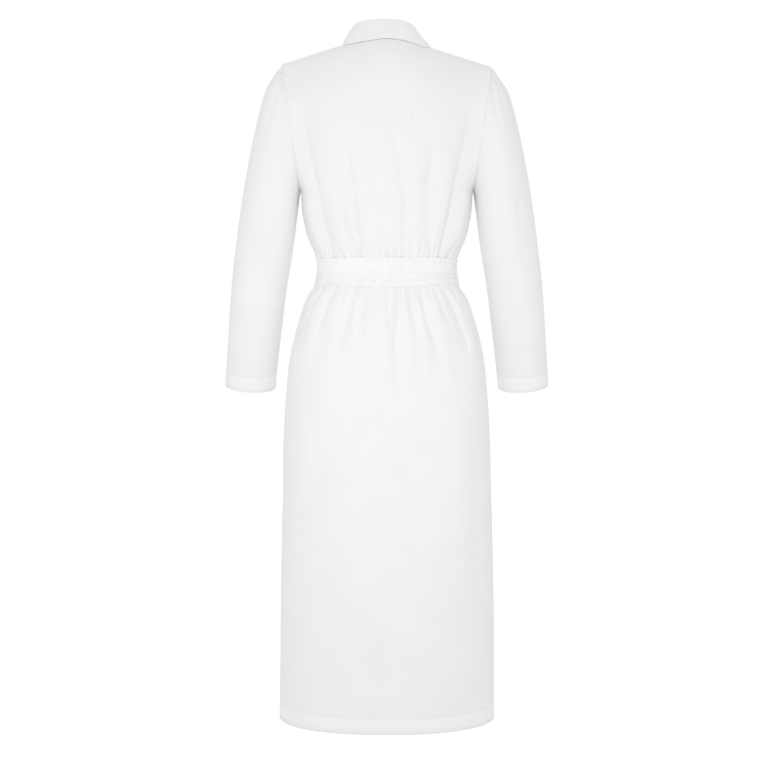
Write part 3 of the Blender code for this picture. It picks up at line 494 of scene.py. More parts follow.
def read(columns, name, at):
    """A column's value at places along the first column, on a smooth curve that never overshoots."""
    x, y = next(iter(columns.values())), columns[name]
    at = np.clip(np.asarray(at, float), x[0], x[-1])
    step = np.diff(x)
    rise = np.diff(y) / step
    slope = np.zeros(len(x))
    slope[0], slope[-1] = rise[0], rise[-1]
    before, after = rise[:-1], rise[1:]
    same = before * after > 0
    slope[1:-1][same] = 2 * before[same] * after[same] / (before + after)[same]
    i = np.clip(np.searchsorted(x, at, side="right") - 1, 0, len(step) - 1)
    t = (at - x[i]) / step[i]
    low, high = y[i], y[i + 1]
    pull_low, pull_high = slope[i] * step[i], slope[i + 1] * step[i]
    blend = t * t * (3 - 2 * t)
    return low + (high - low) * blend + t * (1 - t) * ((1 - t) * pull_low - t * pull_high)


def smoothstep(value):
    """0 below 0, 1 above 1, and a smooth rise between."""
    t = np.clip(value, 0, 1)
    return t * t * (3 - 2 * t)


def wave_noise(place, length, seed):
    """A smooth random line between -1 and 1, with one turn in about each length."""
    values = np.random.default_rng(seed).uniform(-1, 1, 2048)
    t = np.asarray(place, float) / length
    i = np.floor(t).astype(int)
    blend = smoothstep(t - i)
    return values[i % 2048] * (1 - blend) + values[(i + 1) % 2048] * blend


def patch_noise(across, down, across_length, down_length, seed):
    """A smooth random field between -1 and 1."""
    values = np.random.default_rng(seed).uniform(-1, 1, (256, 256))
    u, v = np.broadcast_arrays(across / across_length, down / down_length)
    i, j = np.floor(u).astype(int), np.floor(v).astype(int)
    a, b = smoothstep(u - i), smoothstep(v - j)
    low = values[i % 256, j % 256] * (1 - a) + values[(i + 1) % 256, j % 256] * a
    high = values[i % 256, (j + 1) % 256] * (1 - a) + values[(i + 1) % 256, (j + 1) % 256] * a
    return low * (1 - b) + high * b


def with_fine_ends(count, fine):
    """Places from 0 to 1, evenly spaced but close together within "fine" of both ends."""
    ends = fine * np.array([0.0, 0.10, 0.24, 0.42, 0.66])
    return np.concatenate([ends, np.linspace(fine, 1 - fine, count), 1 - ends[::-1]])


def outward(points, closed_round=False):
    """Unit vectors that stand on a grid of points, away from the dress's inside."""
    down = np.gradient(points, axis=0)
    if closed_round:
        across = (np.roll(points, -1, axis=1) - np.roll(points, 1, axis=1)) / 2
    else:
        across = np.gradient(points, axis=1)
    normal = np.cross(down, across)
    length = np.linalg.norm(normal, axis=2, keepdims=True)
    return normal / np.maximum(length, 1e-12)


def rows_of(columns):
    """A table's rows, each as a dictionary of its columns."""
    names = list(columns)
    return [dict(zip(names, values)) for values in zip(*columns.values())]


def fold_height(folds, across, down):
    """How far the large folds lift the cloth at places on it."""
    lift = np.zeros(np.broadcast(across, down).shape)
    for row in rows_of(folds):
        heights = np.array([row["tip_down"], row["mid_down"], row["foot_down"]])
        places = np.array([row["tip_across"], row["mid_across"], row["foot_across"]])
        order = np.argsort(heights)
        line = np.interp(down, heights[order], places[order])
        share = (down - row["tip_down"]) / (row["foot_down"] - row["tip_down"])
        lift += (
            row["height"]
            * smoothstep(share * 1.6)
            * np.exp(-(((across - line) / row["half_width"]) ** 2))
        )
    return lift


def crease_height(creases, across, down, seed):
    """How far the creases sink or lift the cloth: a narrow line in a wider, shallower one."""
    lift = np.zeros(np.broadcast(across, down).shape)
    for i, row in enumerate(rows_of(creases)):
        heights = np.array([row["d1"], row["d2"], row["d3"], row["d4"]])
        places = np.array([row["x1"], row["x2"], row["x3"], row["x4"]])
        order = np.argsort(heights)
        line = np.interp(down, heights[order], places[order])
        line = line + CREASE_WANDER * wave_noise(down, CREASE_WANDER_LENGTH, seed + i)
        share = (down - heights[0]) / (heights[-1] - heights[0])
        at_foot = smoothstep((1 - share) * 2.2) * (1 - row["hold"]) + row["hold"]
        strength = smoothstep(share * 1.5) * at_foot
        aside = (across - line) / (row["half_width"] * CREASE_SHARPNESS)
        line_shape = 0.66 * np.exp(-(aside**2)) + 0.34 * np.exp(-((aside / 2.8) ** 2))
        lift += row["height"] * strength * line_shape
    return lift


def gather_height(arc, distance, seed):
    """Small gathers along a seam, which die away with the distance from it."""
    lift = 0.0
    for i, row in enumerate(rows_of(GATHERS)):
        spacing = row["spacing"]
        phase = arc / spacing + 0.75 * wave_noise(arc, spacing * 3.1, seed + 7 * i)
        size = 0.60 + 0.40 * wave_noise(arc, spacing * 2.3, seed + 7 * i + 1)
        reach = row["reach"] * (1 + 0.35 * wave_noise(arc, spacing * 1.7, seed + 7 * i + 2))
        ridge = 1.5 * np.abs(np.sin(np.pi * phase)) ** 0.6 - 0.8
        lift = lift + row["height"] * size * ridge * np.exp(-np.maximum(distance, 0) / reach)
    return lift


def unevenness(arc, down, seed):
    """The broad, faint hills and hollows of worn cloth."""
    return sum(
        row["height"] * patch_noise(arc + 5, down + 5, row["across"], row["down"], seed + i)
        for i, row in enumerate(rows_of(UNEVENNESS))
    )


def groove(distance, depth=STITCH_GROOVE, reach=STITCH_GROOVE_REACH):
    """How far a row of stitches pulls the cloth in at a distance from it."""
    return -depth * np.exp(-((distance / reach) ** 2))


def rolled(distance, depth=SEAM_ROLL, reach=SEAM_ROLL_REACH):
    """How far the cloth rolls in at a distance from a seam."""
    return -depth * (1 - smoothstep(distance / reach))


# The body's surfaces


def beside_band(distance):
    """How much of a fold is left at a distance from the waistband."""
    return 0.15 + 0.85 * smoothstep(distance / FOLD_BAND_REACH)


def armhole_depth(edge_down):
    """Half the armhole's depth at a height of the bodice's edge, and 0 below the underarm."""
    middle = (SHOULDER_DOWN + UNDERARM_DOWN) / 2
    half = (UNDERARM_DOWN - SHOULDER_DOWN) / 2
    inside = np.clip(1 - ((edge_down - middle) / half) ** 2, 0, 1)
    return ARMHOLE_HALF_DEPTH * np.sqrt(inside)


def edge_half_width(edge_down):
    """Half the bodice's width at its edge: the armhole's line, then the side seam."""
    share = (edge_down - SHOULDER_DOWN) / (UNDERARM_DOWN - SHOULDER_DOWN)
    armhole = SHOULDER_HALF + share * (UNDERARM_HALF - SHOULDER_HALF)
    return np.where(share < 1, armhole, read(BODICE_SIDE, "half_width", edge_down))


def neck_ellipse(across):
    """1 at the middle of the neck, and 0 from its sides outwards."""
    return np.sqrt(np.clip(1 - (across / NECK_HALF) ** 2, 0, 1))


def shoulder_line(across):
    """The height of the shoulders' ridge, which goes on rising to the middle of the neck."""
    slope = (SHOULDER_DOWN - NECK_SIDE_DOWN) / (SHOULDER_HALF - NECK_HALF)
    return NECK_SIDE_DOWN + slope * (np.hypot(across, RIDGE_ROUND) - NECK_HALF)


def rounded_reach(x_top, down, face):
    """How far the surface stands from the shoulder line's plane, rounded over the shoulders."""
    from_ridge = np.clip(1 - (down - shoulder_line(x_top)) / SHOULDER_ROUND, 0, 1)
    return read(BODICE, face, down) * np.sqrt(1 - from_ridge**2)


def top_down(x_top, face):
    """The height of the panel's top edge: the shoulder seam, and the neckline cut in the surface."""
    section = np.clip(1 - (x_top / SHOULDER_HALF) ** SQUARENESS, 0, 1) ** (1 / SQUARENESS)
    wanted = NECK_REACH[face] * neck_ellipse(x_top)
    high = shoulder_line(x_top)
    low = high + SHOULDER_ROUND
    for _ in range(40):
        middle = (high + low) / 2
        short = rounded_reach(x_top, middle, face) * section < wanted
        high, low = np.where(short, middle, high), np.where(short, low, middle)
    return high


def bodice_point(across_share, edge_down, sign, face):
    """Points of the bodice. across_share is 0 at the centre and 1 at its edge, and edge_down
    is the height of the edge's end of the row, which the shoulder's slope bends upwards."""
    share = np.abs(across_share)
    x_top = share * SHOULDER_HALF
    top = top_down(x_top, face)
    down = top + (edge_down - SHOULDER_DOWN) * (WAIST_DOWN - top) / (WAIST_DOWN - SHOULDER_DOWN)
    side = armhole_depth(edge_down)
    section = np.clip(1 - share**SQUARENESS, 0, 1) ** (1 / SQUARENESS)
    depth = np.hypot(rounded_reach(x_top, down, face) * section, side * share**ARMHOLE_EDGE_POWER)
    shoulder_gap = np.where(x_top > NECK_HALF * 0.98, SHOULDER_SEAM_HALF_GAP, 0)
    depth = np.maximum(depth, shoulder_gap)
    x = across_share * edge_half_width(edge_down) * sign
    return np.stack(np.broadcast_arrays(x, depth if face == "back" else -depth, -down), axis=-1)


def front_reach(across, down):
    """The Y of the bodice's, band's or skirt's front surface at places near its centre."""
    across, down = np.broadcast_arrays(np.asarray(across, float), np.asarray(down, float))
    edge = down.copy()
    for _ in range(8):
        share = np.clip(np.abs(across) / edge_half_width(edge), 0, 1)
        top = top_down(share * SHOULDER_HALF, "front")
        edge = SHOULDER_DOWN + (down - top) * (WAIST_DOWN - SHOULDER_DOWN) / (WAIST_DOWN - top)
        edge = np.clip(edge, SHOULDER_DOWN, WAIST_DOWN)
    on_bodice = bodice_point(share, edge, 1.0, "front")[..., 1]
    on_band = down < BAND_FOOT_DOWN
    lower = np.where(on_band, read(WAISTBAND, "front", down), read(SKIRT, "front", down))
    width = np.where(on_band, read(WAISTBAND, "half_width", down), read(SKIRT, "half_width", down))
    section = np.clip(1 - (np.abs(across) / width) ** SQUARENESS, 0, 1) ** (1 / SQUARENESS)
    return np.where(down < WAIST_DOWN, on_bodice, -lower * section)


def back_reach(across, down):
    """The Y of the bodice's back surface at places near its centre."""
    across, down = np.broadcast_arrays(np.abs(across), np.asarray(down, float))
    edge = down.copy()
    for _ in range(8):
        share = np.clip(across / edge_half_width(edge), 0, 1)
        top = top_down(share * SHOULDER_HALF, "back")
        edge = SHOULDER_DOWN + (down - top) * (WAIST_DOWN - SHOULDER_DOWN) / (WAIST_DOWN - top)
        edge = np.clip(edge, SHOULDER_DOWN, WAIST_DOWN)
    return bodice_point(share, edge, 1.0, "back")[..., 1]


def section_point(turn, down, sizes):
    """Points round the waistband or the skirt. turn is 0 at the centre back and grows to +X."""
    power = 2 / SQUARENESS
    across = np.sign(np.sin(turn)) * np.abs(np.sin(turn)) ** power
    depth = np.sign(np.cos(turn)) * np.abs(np.cos(turn)) ** power
    reach = np.where(np.cos(turn) >= 0, read(sizes, "back", down), read(sizes, "front", down))
    x = read(sizes, "half_width", down) * across
    return np.stack(np.broadcast_arrays(x, reach * depth, -down), axis=-1)


def front_edge_turn(half_width, start):
    """The turn at which a section reaches x = start, near the centre front."""
    share = (abs(start) / half_width) ** (SQUARENESS / 2)
    return math.pi - np.sign(start) * np.arcsin(share)


def even_section(shares, down, sizes, first, last):
    """Turns at even shares of the way from first to last along a section, for each row."""
    dense = np.linspace(0, 1, 1201)[None, :]
    turns = first + dense * (last - first)
    ring = section_point(turns, down, sizes)
    arc = np.linalg.norm(np.diff(ring, axis=1), axis=2).cumsum(axis=1)
    arc = np.concatenate([np.zeros((len(arc), 1)), arc], axis=1)
    return np.stack([np.interp(shares * line[-1], line, row) for line, row in zip(arc, turns)])


def sleeve_points(turns, along, sign):
    """Points of a sleeve. A turn of 0 is the outer edge, and a quarter turn is the back."""
    outer, outer_down, inner, inner_down, half_depth, middle, pitch = (
        read(SLEEVE, name, along)
        for name in ("outer", "outer_down", "inner", "inner_down", "half_depth", "middle", "pitch")
    )
    pitch = np.radians(pitch)
    reach = np.sin(turns) * half_depth
    x = (outer + inner) / 2 + np.cos(turns) * (outer - inner) / 2
    y = middle + reach * np.cos(pitch)
    down = (outer_down + inner_down) / 2 + np.cos(turns) * (outer_down - inner_down) / 2
    down = down + reach * np.sin(pitch)
    return np.stack(np.broadcast_arrays(sign * x, y, -down), axis=-1)


def ring_point(turn, half, reach, down):
    """Points of an oval round the neck."""
    depth = np.where(np.cos(turn) >= 0, reach["back"], reach["front"]) * np.cos(turn)
    return np.stack(np.broadcast_arrays(half * np.sin(turn), depth, -down), axis=-1)


def settled(points):
    """The points as the dress hangs: its right shoulder a little lower, its collar a little to
    the left, its sleeve heads narrower and its waistband higher, most of all at the sides."""
    x, z = points[..., 0], points[..., 2]
    low = SHOULDER_DROP * smoothstep((-x - 0.030) / 0.040) * smoothstep((z + 0.110) / 0.080)
    aside = COLLAR_SHIFT * smoothstep((z + 0.004) / 0.030) * smoothstep((0.10 - np.abs(x)) / 0.04)
    at_head = np.exp(-(((z + 0.050) / 0.024) ** 2)) * smoothstep((np.abs(x) - 0.178) / 0.020)
    at_foot = np.exp(-(((z + BAND_FOOT_DOWN + 0.0055) / 0.015) ** 2))
    at_foot = at_foot * smoothstep((0.172 - np.abs(x)) / 0.012)
    aside = aside - np.sign(x) * HEAD_NARROWING * at_head - x * FOOT_NARROWING * at_foot
    near_band = np.exp(-(((z + BAND_FOOT_DOWN) / BAND_RISE_REACH) ** 2))
    rise = (BAND_RISE_MIDDLE + BAND_RISE_SIDE * smoothstep(np.abs(x) / 0.135)) * near_band
    return points + np.stack([aside, np.zeros_like(aside), rise - low], axis=-1)


# Meshes


def link_mesh(name, mesh, material):
    """An object for a mesh, in the scene, with one material and smooth faces."""
    mesh.materials.clear()
    mesh.materials.append(material)
    mesh.shade_smooth()
    obj = bpy.data.objects.new(name, mesh)
    bpy.context.scene.collection.objects.link(obj)
    return obj


def cloth_map(points, closed_round):
    """Each grid point's place on the flat cloth, in metres from the panel's middle column."""
    ring = np.concatenate([points, points[:, :1]], axis=1) if closed_round else points
    across = np.linalg.norm(np.diff(ring, axis=1), axis=2).cumsum(axis=1)
    across = np.concatenate([np.zeros((len(points), 1)), across], axis=1)
    middle = ring.shape[1] // 2
    across = across - across[:, middle : middle + 1]
    down = np.linalg.norm(np.diff(points[:, points.shape[1] // 2], axis=0), axis=1).cumsum()
    down = np.concatenate([[0.0], down])[:, None]
    return np.stack(np.broadcast_arrays(across, down), axis=-1)


def cloth_object(name, points, material, closed_round=False, painted_light_where_doubled=0.0):
    """A cloth panel over a grid of points, rows by columns, with its flat map as its UV map.
    Its per-point share of painted light, which brightens the colour where the cloth lies double, as in a hem, is
    kept as an attribute."""
    rows, columns = points.shape[:2]
    last = columns if closed_round else columns - 1
    r, c = (a.ravel() for a in np.meshgrid(np.arange(rows - 1), np.arange(last), indexing="ij"))
    d = (c + 1) % columns
    faces = np.stack([r * columns + c, (r + 1) * columns + c, (r + 1) * columns + d, r * columns + d], 1)
    mesh = bpy.data.meshes.new(name)
    mesh.from_pydata(settled(points).reshape(-1, 3).tolist(), [], faces.tolist())
    flat = cloth_map(points, closed_round)
    corners = np.stack([flat[r, c], flat[r + 1, c], flat[r + 1, c + 1], flat[r, c + 1]], axis=1)
    layer = mesh.uv_layers.new(name="cloth")
    layer.data.foreach_set("uv", corners.astype(np.float32).ravel())
    painted_light_share = np.ascontiguousarray(np.broadcast_to(painted_light_where_doubled, (rows, columns)), np.float32)
    mesh.attributes.new("painted_light_where_doubled", "FLOAT", "POINT").data.foreach_set("value", painted_light_share.ravel())
    mesh.validate()
    return link_mesh(name, mesh, material)


def give_wall(obj, thickness, offset=-1.0):
    """Gives a cloth panel its thickness, by default on its inner side."""
    wall = obj.modifiers.new("cloth wall", "SOLIDIFY")
    wall.thickness = thickness
    wall.offset = offset
    wall.use_even_offset = False
    return obj


def with_turned_hem(points, depth, closed_round=False):
    """The grid with its lower end turned up inside by the hem's depth, and its share of painted light, which
    brightens the colour where the hem lies double.
    """
    normal = outward(points, closed_round)
    length = np.linalg.norm(points[-1] - points, axis=2).mean(axis=1)
    inside = np.nonzero(length[:-1] <= depth)[0]
    bottom = points[-1] - normal[-1] * HEM_GAP / 2
    bottom[..., 2] -= HEM_GAP / 3
    turned = points[inside] - normal[inside] * HEM_GAP
    painted_light_where_doubled = HEM_PAINTED_LIGHT_SHARE * np.concatenate([length <= depth, np.ones(1 + len(inside))])[:, None]
    return np.concatenate([points, bottom[None], turned[::-1]], axis=0), painted_light_where_doubled


def line_object(name, lines):
    """A mesh of plain lines, each an array of points and whether it closes on itself."""
    verts, edges = [], []
    for line, closed in lines:
        start = len(verts)
        verts.extend(map(tuple, settled(np.asarray(line))))
        edges.extend((start + i, start + i + 1) for i in range(len(line) - 1))
        if closed:
            edges.append((start + len(line) - 1, start))
    mesh = bpy.data.meshes.new(name)
    mesh.from_pydata(verts, edges, [])
    obj = bpy.data.objects.new(name, mesh)
    bpy.context.scene.collection.objects.link(obj)
    return obj


# Node trees


def new_tree(name, inputs):
    """A geometry node tree with one geometry in and out and named inputs, and its end nodes."""
    tree = bpy.data.node_groups.new(name, "GeometryNodeTree")
    tree.interface.new_socket("Geometry", in_out="INPUT", socket_type="NodeSocketGeometry")
    tree.interface.new_socket("Geometry", in_out="OUTPUT", socket_type="NodeSocketGeometry")
    for label, kind, default in inputs:
        socket = tree.interface.new_socket(label, in_out="INPUT", socket_type=f"NodeSocket{kind}")
        if default is not None:
            socket.default_value = default
    return tree, tree.nodes.new("NodeGroupInput"), tree.nodes.new("NodeGroupOutput")


def node(tree, kind, settings=None, **sockets):
    """A node with its settings, whose named input sockets are set or linked."""
    made = tree.nodes.new(kind)
    for key, value in (settings or {}).items():
        setattr(made, key, value)
    for key, value in sockets.items():
        socket = made.inputs[key.replace("_", " ")]
        if isinstance(value, bpy.types.NodeSocket):
            tree.links.new(value, socket)
        else:
            socket.default_value = value
    return made


def stitch_tree():
    """Stitches laid end to end along lines."""
    tree, start, end = new_tree(
        "stitches along a line",
        (
            ("Pitch", "Float", 0.0030),
            ("Stitch length", "Float", 0.0024),
            ("Thread width", "Float", 0.0005),
            ("Seed", "Int", 1),
            ("Thread", "Material", None),
        ),
    )
    inputs = start.outputs
    curve = node(tree, "GeometryNodeMeshToCurve", Mesh=inputs["Geometry"])
    spaced = node(
        tree,
        "GeometryNodeResampleCurve",
        {"mode": "LENGTH"},
        Curve=curve.outputs[0],
        Length=inputs["Pitch"],
    )
    tangent = node(tree, "GeometryNodeInputTangent")
    turn = node(tree, "FunctionNodeAlignRotationToVector", {"axis": "Z"}, Vector=tangent.outputs[0])
    uneven = node(tree, "FunctionNodeRandomValue", {"data_type": "FLOAT"}, Seed=inputs["Seed"])
    uneven.inputs[2].default_value = 0.86
    uneven.inputs[3].default_value = 1.06
    length = node(tree, "ShaderNodeMath", {"operation": "MULTIPLY"})
    tree.links.new(inputs["Stitch length"], length.inputs[0])
    tree.links.new(uneven.outputs[1], length.inputs[1])
    size = node(
        tree,
        "ShaderNodeCombineXYZ",
        X=inputs["Thread width"],
        Y=inputs["Thread width"],
        Z=length.outputs[0],
    )
    stitch = node(tree, "GeometryNodeMeshUVSphere", Segments=4, Rings=3, Radius=0.5)
    placed = node(
        tree,
        "GeometryNodeInstanceOnPoints",
        Points=spaced.outputs[0],
        Instance=stitch.outputs[0],
        Rotation=turn.outputs[0],
        Scale=size.outputs[0],
    )
    real = node(tree, "GeometryNodeRealizeInstances", Geometry=placed.outputs[0])
    dressed = node(
        tree, "GeometryNodeSetMaterial", Geometry=real.outputs[0], Material=inputs["Thread"]
    )
    tree.links.new(dressed.outputs[0], end.inputs[0])
    return tree


def repeat_tree():
    """Copies of one object on points, each tilted by the point's own lean."""
    tree, start, end = new_tree(
        "copies on leaning points", (("Copied", "Object", None), ("Finish", "Material", None))
    )
    inputs = start.outputs
    copied = node(tree, "GeometryNodeObjectInfo", Object=inputs["Copied"])
    lean = node(tree, "GeometryNodeInputNamedAttribute", {"data_type": "FLOAT"}, Name="lean")
    upright = node(tree, "ShaderNodeMath", {"operation": "ADD"})
    upright.inputs[1].default_value = math.pi / 2
    tree.links.new(lean.outputs[0], upright.inputs[0])
    turn = node(tree, "ShaderNodeCombineXYZ", X=upright.outputs[0])
    placed = node(
        tree,
        "GeometryNodeInstanceOnPoints",
        Points=inputs["Geometry"],
        Instance=copied.outputs["Geometry"],
        Rotation=turn.outputs[0],
    )
    real = node(tree, "GeometryNodeRealizeInstances", Geometry=placed.outputs[0])
    dressed = node(
        tree, "GeometryNodeSetMaterial", Geometry=real.outputs[0], Material=inputs["Finish"]
    )
    tree.links.new(dressed.outputs[0], end.inputs[0])
    return tree


def grown(name, source, tree, values, material):
    """The plain mesh that a node tree makes from a source object, which is then removed."""
    modifier = source.modifiers.new("grow", "NODES")
    modifier.node_group = tree
    names = {i.name: i.identifier for i in tree.interface.items_tree if i.in_out == "INPUT"}
    for label, value in values.items():
        modifier[names[label]] = value
    depsgraph = bpy.context.evaluated_depsgraph_get()
    mesh = bpy.data.meshes.new_from_object(source.evaluated_get(depsgraph))
    mesh.name = name
    bpy.data.objects.remove(source, do_unlink=True)
    return link_mesh(name, mesh, material)


def stitched(name, lines, sizes):
    """Sewn stitches along lines, as a piece that goes with the cloth they are on."""
    tree = bpy.data.node_groups.get("stitches along a line") or stitch_tree()
    thread = thread_material()
    values = {
        "Pitch": sizes.stitch_pitch,
        "Stitch length": sizes.stitch_length,
        "Thread width": sizes.thread_width,
        "Seed": sizes.seed,
        "Thread": thread,
    }
    obj = grown(name, line_object(name + "_lines", lines), tree, values, thread)
    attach(obj, "root")
    return obj


# Finishes


def shader_of(name):
    """A new material and its tree and main shader."""
    material = bpy.data.materials.new(name)
    material.use_nodes = True
    return material, material.node_tree, material.node_tree.nodes["Principled BSDF"]


def cloth_material():
    """White poplin: a fine plain weave, faint slubs and a soft sheen, and painted light that brightens it where it
    lies double.
    """
    if "white poplin" in bpy.data.materials:
        return bpy.data.materials["white poplin"]
    colours = bpy.context.scene.dress_colours
    sizes = bpy.context.scene.dress_sizes
    material, tree, shader = shader_of("white poplin")
    place = node(tree, "ShaderNodeUVMap", {"uv_map": "cloth"}).outputs[0]
    blotch = node(tree, "ShaderNodeTexNoise", Vector=place, Scale=14.0, Detail=3.0)
    tint = node(tree, "ShaderNodeValToRGB", Fac=blotch.outputs["Fac"])
    tint.color_ramp.elements[0].position = 0.32
    tint.color_ramp.elements[0].color = (*colours.cloth_shade, 1.0)
    tint.color_ramp.elements[1].position = 0.68
    tint.color_ramp.elements[1].color = (*colours.cloth, 1.0)
    wave_scale = math.pi / 10 / sizes.weave_pitch
    warp = node(
        tree,
        "ShaderNodeTexWave",
        {"bands_direction": "X"},
        Vector=place,
        Scale=wave_scale,
        Distortion=1.2,
        Detail=1.0,
    )
    weft = node(
        tree,
        "ShaderNodeTexWave",
        {"bands_direction": "Y"},
        Vector=place,
        Scale=wave_scale,
        Distortion=1.2,
        Detail=1.0,
    )
    weave = node(tree, "ShaderNodeMath", {"operation": "MULTIPLY"})
    tree.links.new(warp.outputs["Fac"], weave.inputs[0])
    tree.links.new(weft.outputs["Fac"], weave.inputs[1])
    stretched = node(tree, "ShaderNodeMapping", Vector=place)
    stretched.inputs["Scale"].default_value = (900.0, 90.0, 1.0)
    slub = node(tree, "ShaderNodeTexNoise", Vector=stretched.outputs[0], Scale=1.0, Detail=2.0)
    surface = node(tree, "ShaderNodeMath", {"operation": "ADD"})
    tree.links.new(weave.outputs[0], surface.inputs[0])
    tree.links.new(slub.outputs["Fac"], surface.inputs[1])
    bump = node(tree, "ShaderNodeBump", Height=surface.outputs[0], Strength=0.22, Distance=0.00016)
    rough = node(tree, "ShaderNodeMapRange", Value=slub.outputs["Fac"])
    rough.inputs["To Min"].default_value = 0.74
    rough.inputs["To Max"].default_value = 0.90
    # Painted light: the base colour is scaled up where the cloth lies double, brightening the waistband, placket
    # and hems as if lit by bounce light
    painted_light_share = node(tree, "ShaderNodeAttribute", {"attribute_name": "painted_light_where_doubled"})
    painted_light_scale = node(tree, "ShaderNodeMapRange", Value=painted_light_share.outputs["Fac"])
    painted_light_scale.inputs["To Min"].default_value = 1.0
    painted_light_scale.inputs["To Max"].default_value = DOUBLED_CLOTH_PAINTED_LIGHT
    tint = node(
        tree,
        "ShaderNodeVectorMath",
        {"operation": "SCALE"},
        Vector=tint.outputs[0],
        Scale=painted_light_scale.outputs[0],
    )
    tree.links.new(tint.outputs[0], shader.inputs["Base Color"])
    tree.links.new(rough.outputs[0], shader.inputs["Roughness"])
    tree.links.new(bump.outputs[0], shader.inputs["Normal"])
    shader.inputs["Specular IOR Level"].default_value = 0.22
    shader.inputs["Sheen Weight"].default_value = 0.12
    shader.inputs["Sheen Roughness"].default_value = 0.45
    return material


def thread_material():
    """White sewing thread with a fine twist."""
    if "white thread" in bpy.data.materials:
        return bpy.data.materials["white thread"]
    material, tree, shader = shader_of("white thread")
    place = node(tree, "ShaderNodeTexCoord").outputs["Object"]
    twist = node(
        tree,
        "ShaderNodeTexWave",
        {"bands_direction": "DIAGONAL"},
        Vector=place,
        Scale=math.pi / 10 / 0.0004,
    )
    bump = node(tree, "ShaderNodeBump", Height=twist.outputs["Fac"], Strength=0.3, Distance=0.00008)
    shade = node(tree, "ShaderNodeTexNoise", Vector=place, Scale=220.0)
    tint = node(tree, "ShaderNodeValToRGB", Fac=shade.outputs["Fac"])
    thread = np.array(bpy.context.scene.dress_colours.thread)
    tint.color_ramp.elements[0].color = (*(thread * 0.93), 1.0)
    tint.color_ramp.elements[1].color = (*thread, 1.0)
    tree.links.new(tint.outputs[0], shader.inputs["Base Color"])
    tree.links.new(bump.outputs[0], shader.inputs["Normal"])
    shader.inputs["Roughness"].default_value = 0.6
    shader.inputs["Sheen Weight"].default_value = 0.2
    return material


def button_material():
    """Glossy white plastic with faint clouding."""
    if "white button plastic" in bpy.data.materials:
        return bpy.data.materials["white button plastic"]
    material, tree, shader = shader_of("white button plastic")
    place = node(tree, "ShaderNodeTexCoord").outputs["Object"]
    cloud = node(tree, "ShaderNodeTexNoise", Vector=place, Scale=160.0, Detail=3.0)
    tint = node(tree, "ShaderNodeValToRGB", Fac=cloud.outputs["Fac"])
    plastic = np.array(bpy.context.scene.dress_colours.button)
    tint.color_ramp.elements[0].color = (*(plastic * 0.94), 1.0)
    tint.color_ramp.elements[1].color = (*plastic, 1.0)
    rough = node(tree, "ShaderNodeMapRange", Value=cloud.outputs["Fac"])
    rough.inputs["To Min"].default_value = 0.22
    rough.inputs["To Max"].default_value = 0.34
    tree.links.new(tint.outputs[0], shader.inputs["Base Color"])
    tree.links.new(rough.outputs[0], shader.inputs["Roughness"])
    shader.inputs["Coat Weight"].default_value = 0.25
    shader.inputs["Coat Roughness"].default_value = 0.15
    return material


def finish_cloth(obj, nodes):
    """Hangs a cloth piece on the root and hides the solids that it stands for."""
    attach(obj, "root")
    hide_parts(*nodes)
    return obj


# The pieces


def along_rows(points):
    """Distances along each row of a grid, from its first and from its last column."""
    steps = np.linalg.norm(np.diff(points, axis=1), axis=2)
    first = np.concatenate([np.zeros((len(points), 1)), steps.cumsum(axis=1)], axis=1)
    return first, first[:, -1:] - first


def down_columns(points):
    """Distances down each column of a grid from its first row."""
    steps = np.linalg.norm(np.diff(points, axis=0), axis=2)
    return np.concatenate([np.zeros((1, points.shape[1])), steps.cumsum(axis=0)], axis=0)


def line_across(points, distances, at):
    """The line over a grid's columns where the distance down each reaches a value."""
    columns = range(points.shape[1])
    return np.array(
        [[np.interp(at, distances[:, c], points[:, c, k]) for k in range(3)] for c in columns]
    )


def bodice_rows():
    """Heights of the bodice's rows at its edge: round the armhole, then down the side."""
    turns = np.linspace(0, math.pi, BODICE_ARMHOLE_STEPS + 1)
    half = (UNDERARM_DOWN - SHOULDER_DOWN) / 2
    armhole = SHOULDER_DOWN + half * (1 - np.cos(turns))
    side = np.linspace(UNDERARM_DOWN, WAIST_DOWN, BODICE_SIDE_STEPS + 1)
    return np.concatenate([armhole, side[1:]])[:, None]


def bodice_columns(start):
    """Shares from the line x = start to the panel's edge, close together beside the neck and
    at the edge."""
    turns = np.linspace(math.asin(start / NECK_HALF), math.pi / 2, BODICE_NECK_COLUMNS + 1)
    neck = (NECK_HALF * np.sin(turns) - start) / (SHOULDER_HALF - start)
    shoulder = with_fine_ends(BODICE_SHOULDER_COLUMNS, 0.03)
    return np.concatenate([neck, neck[-1] + (1 - neck[-1]) * shoulder[3:]])


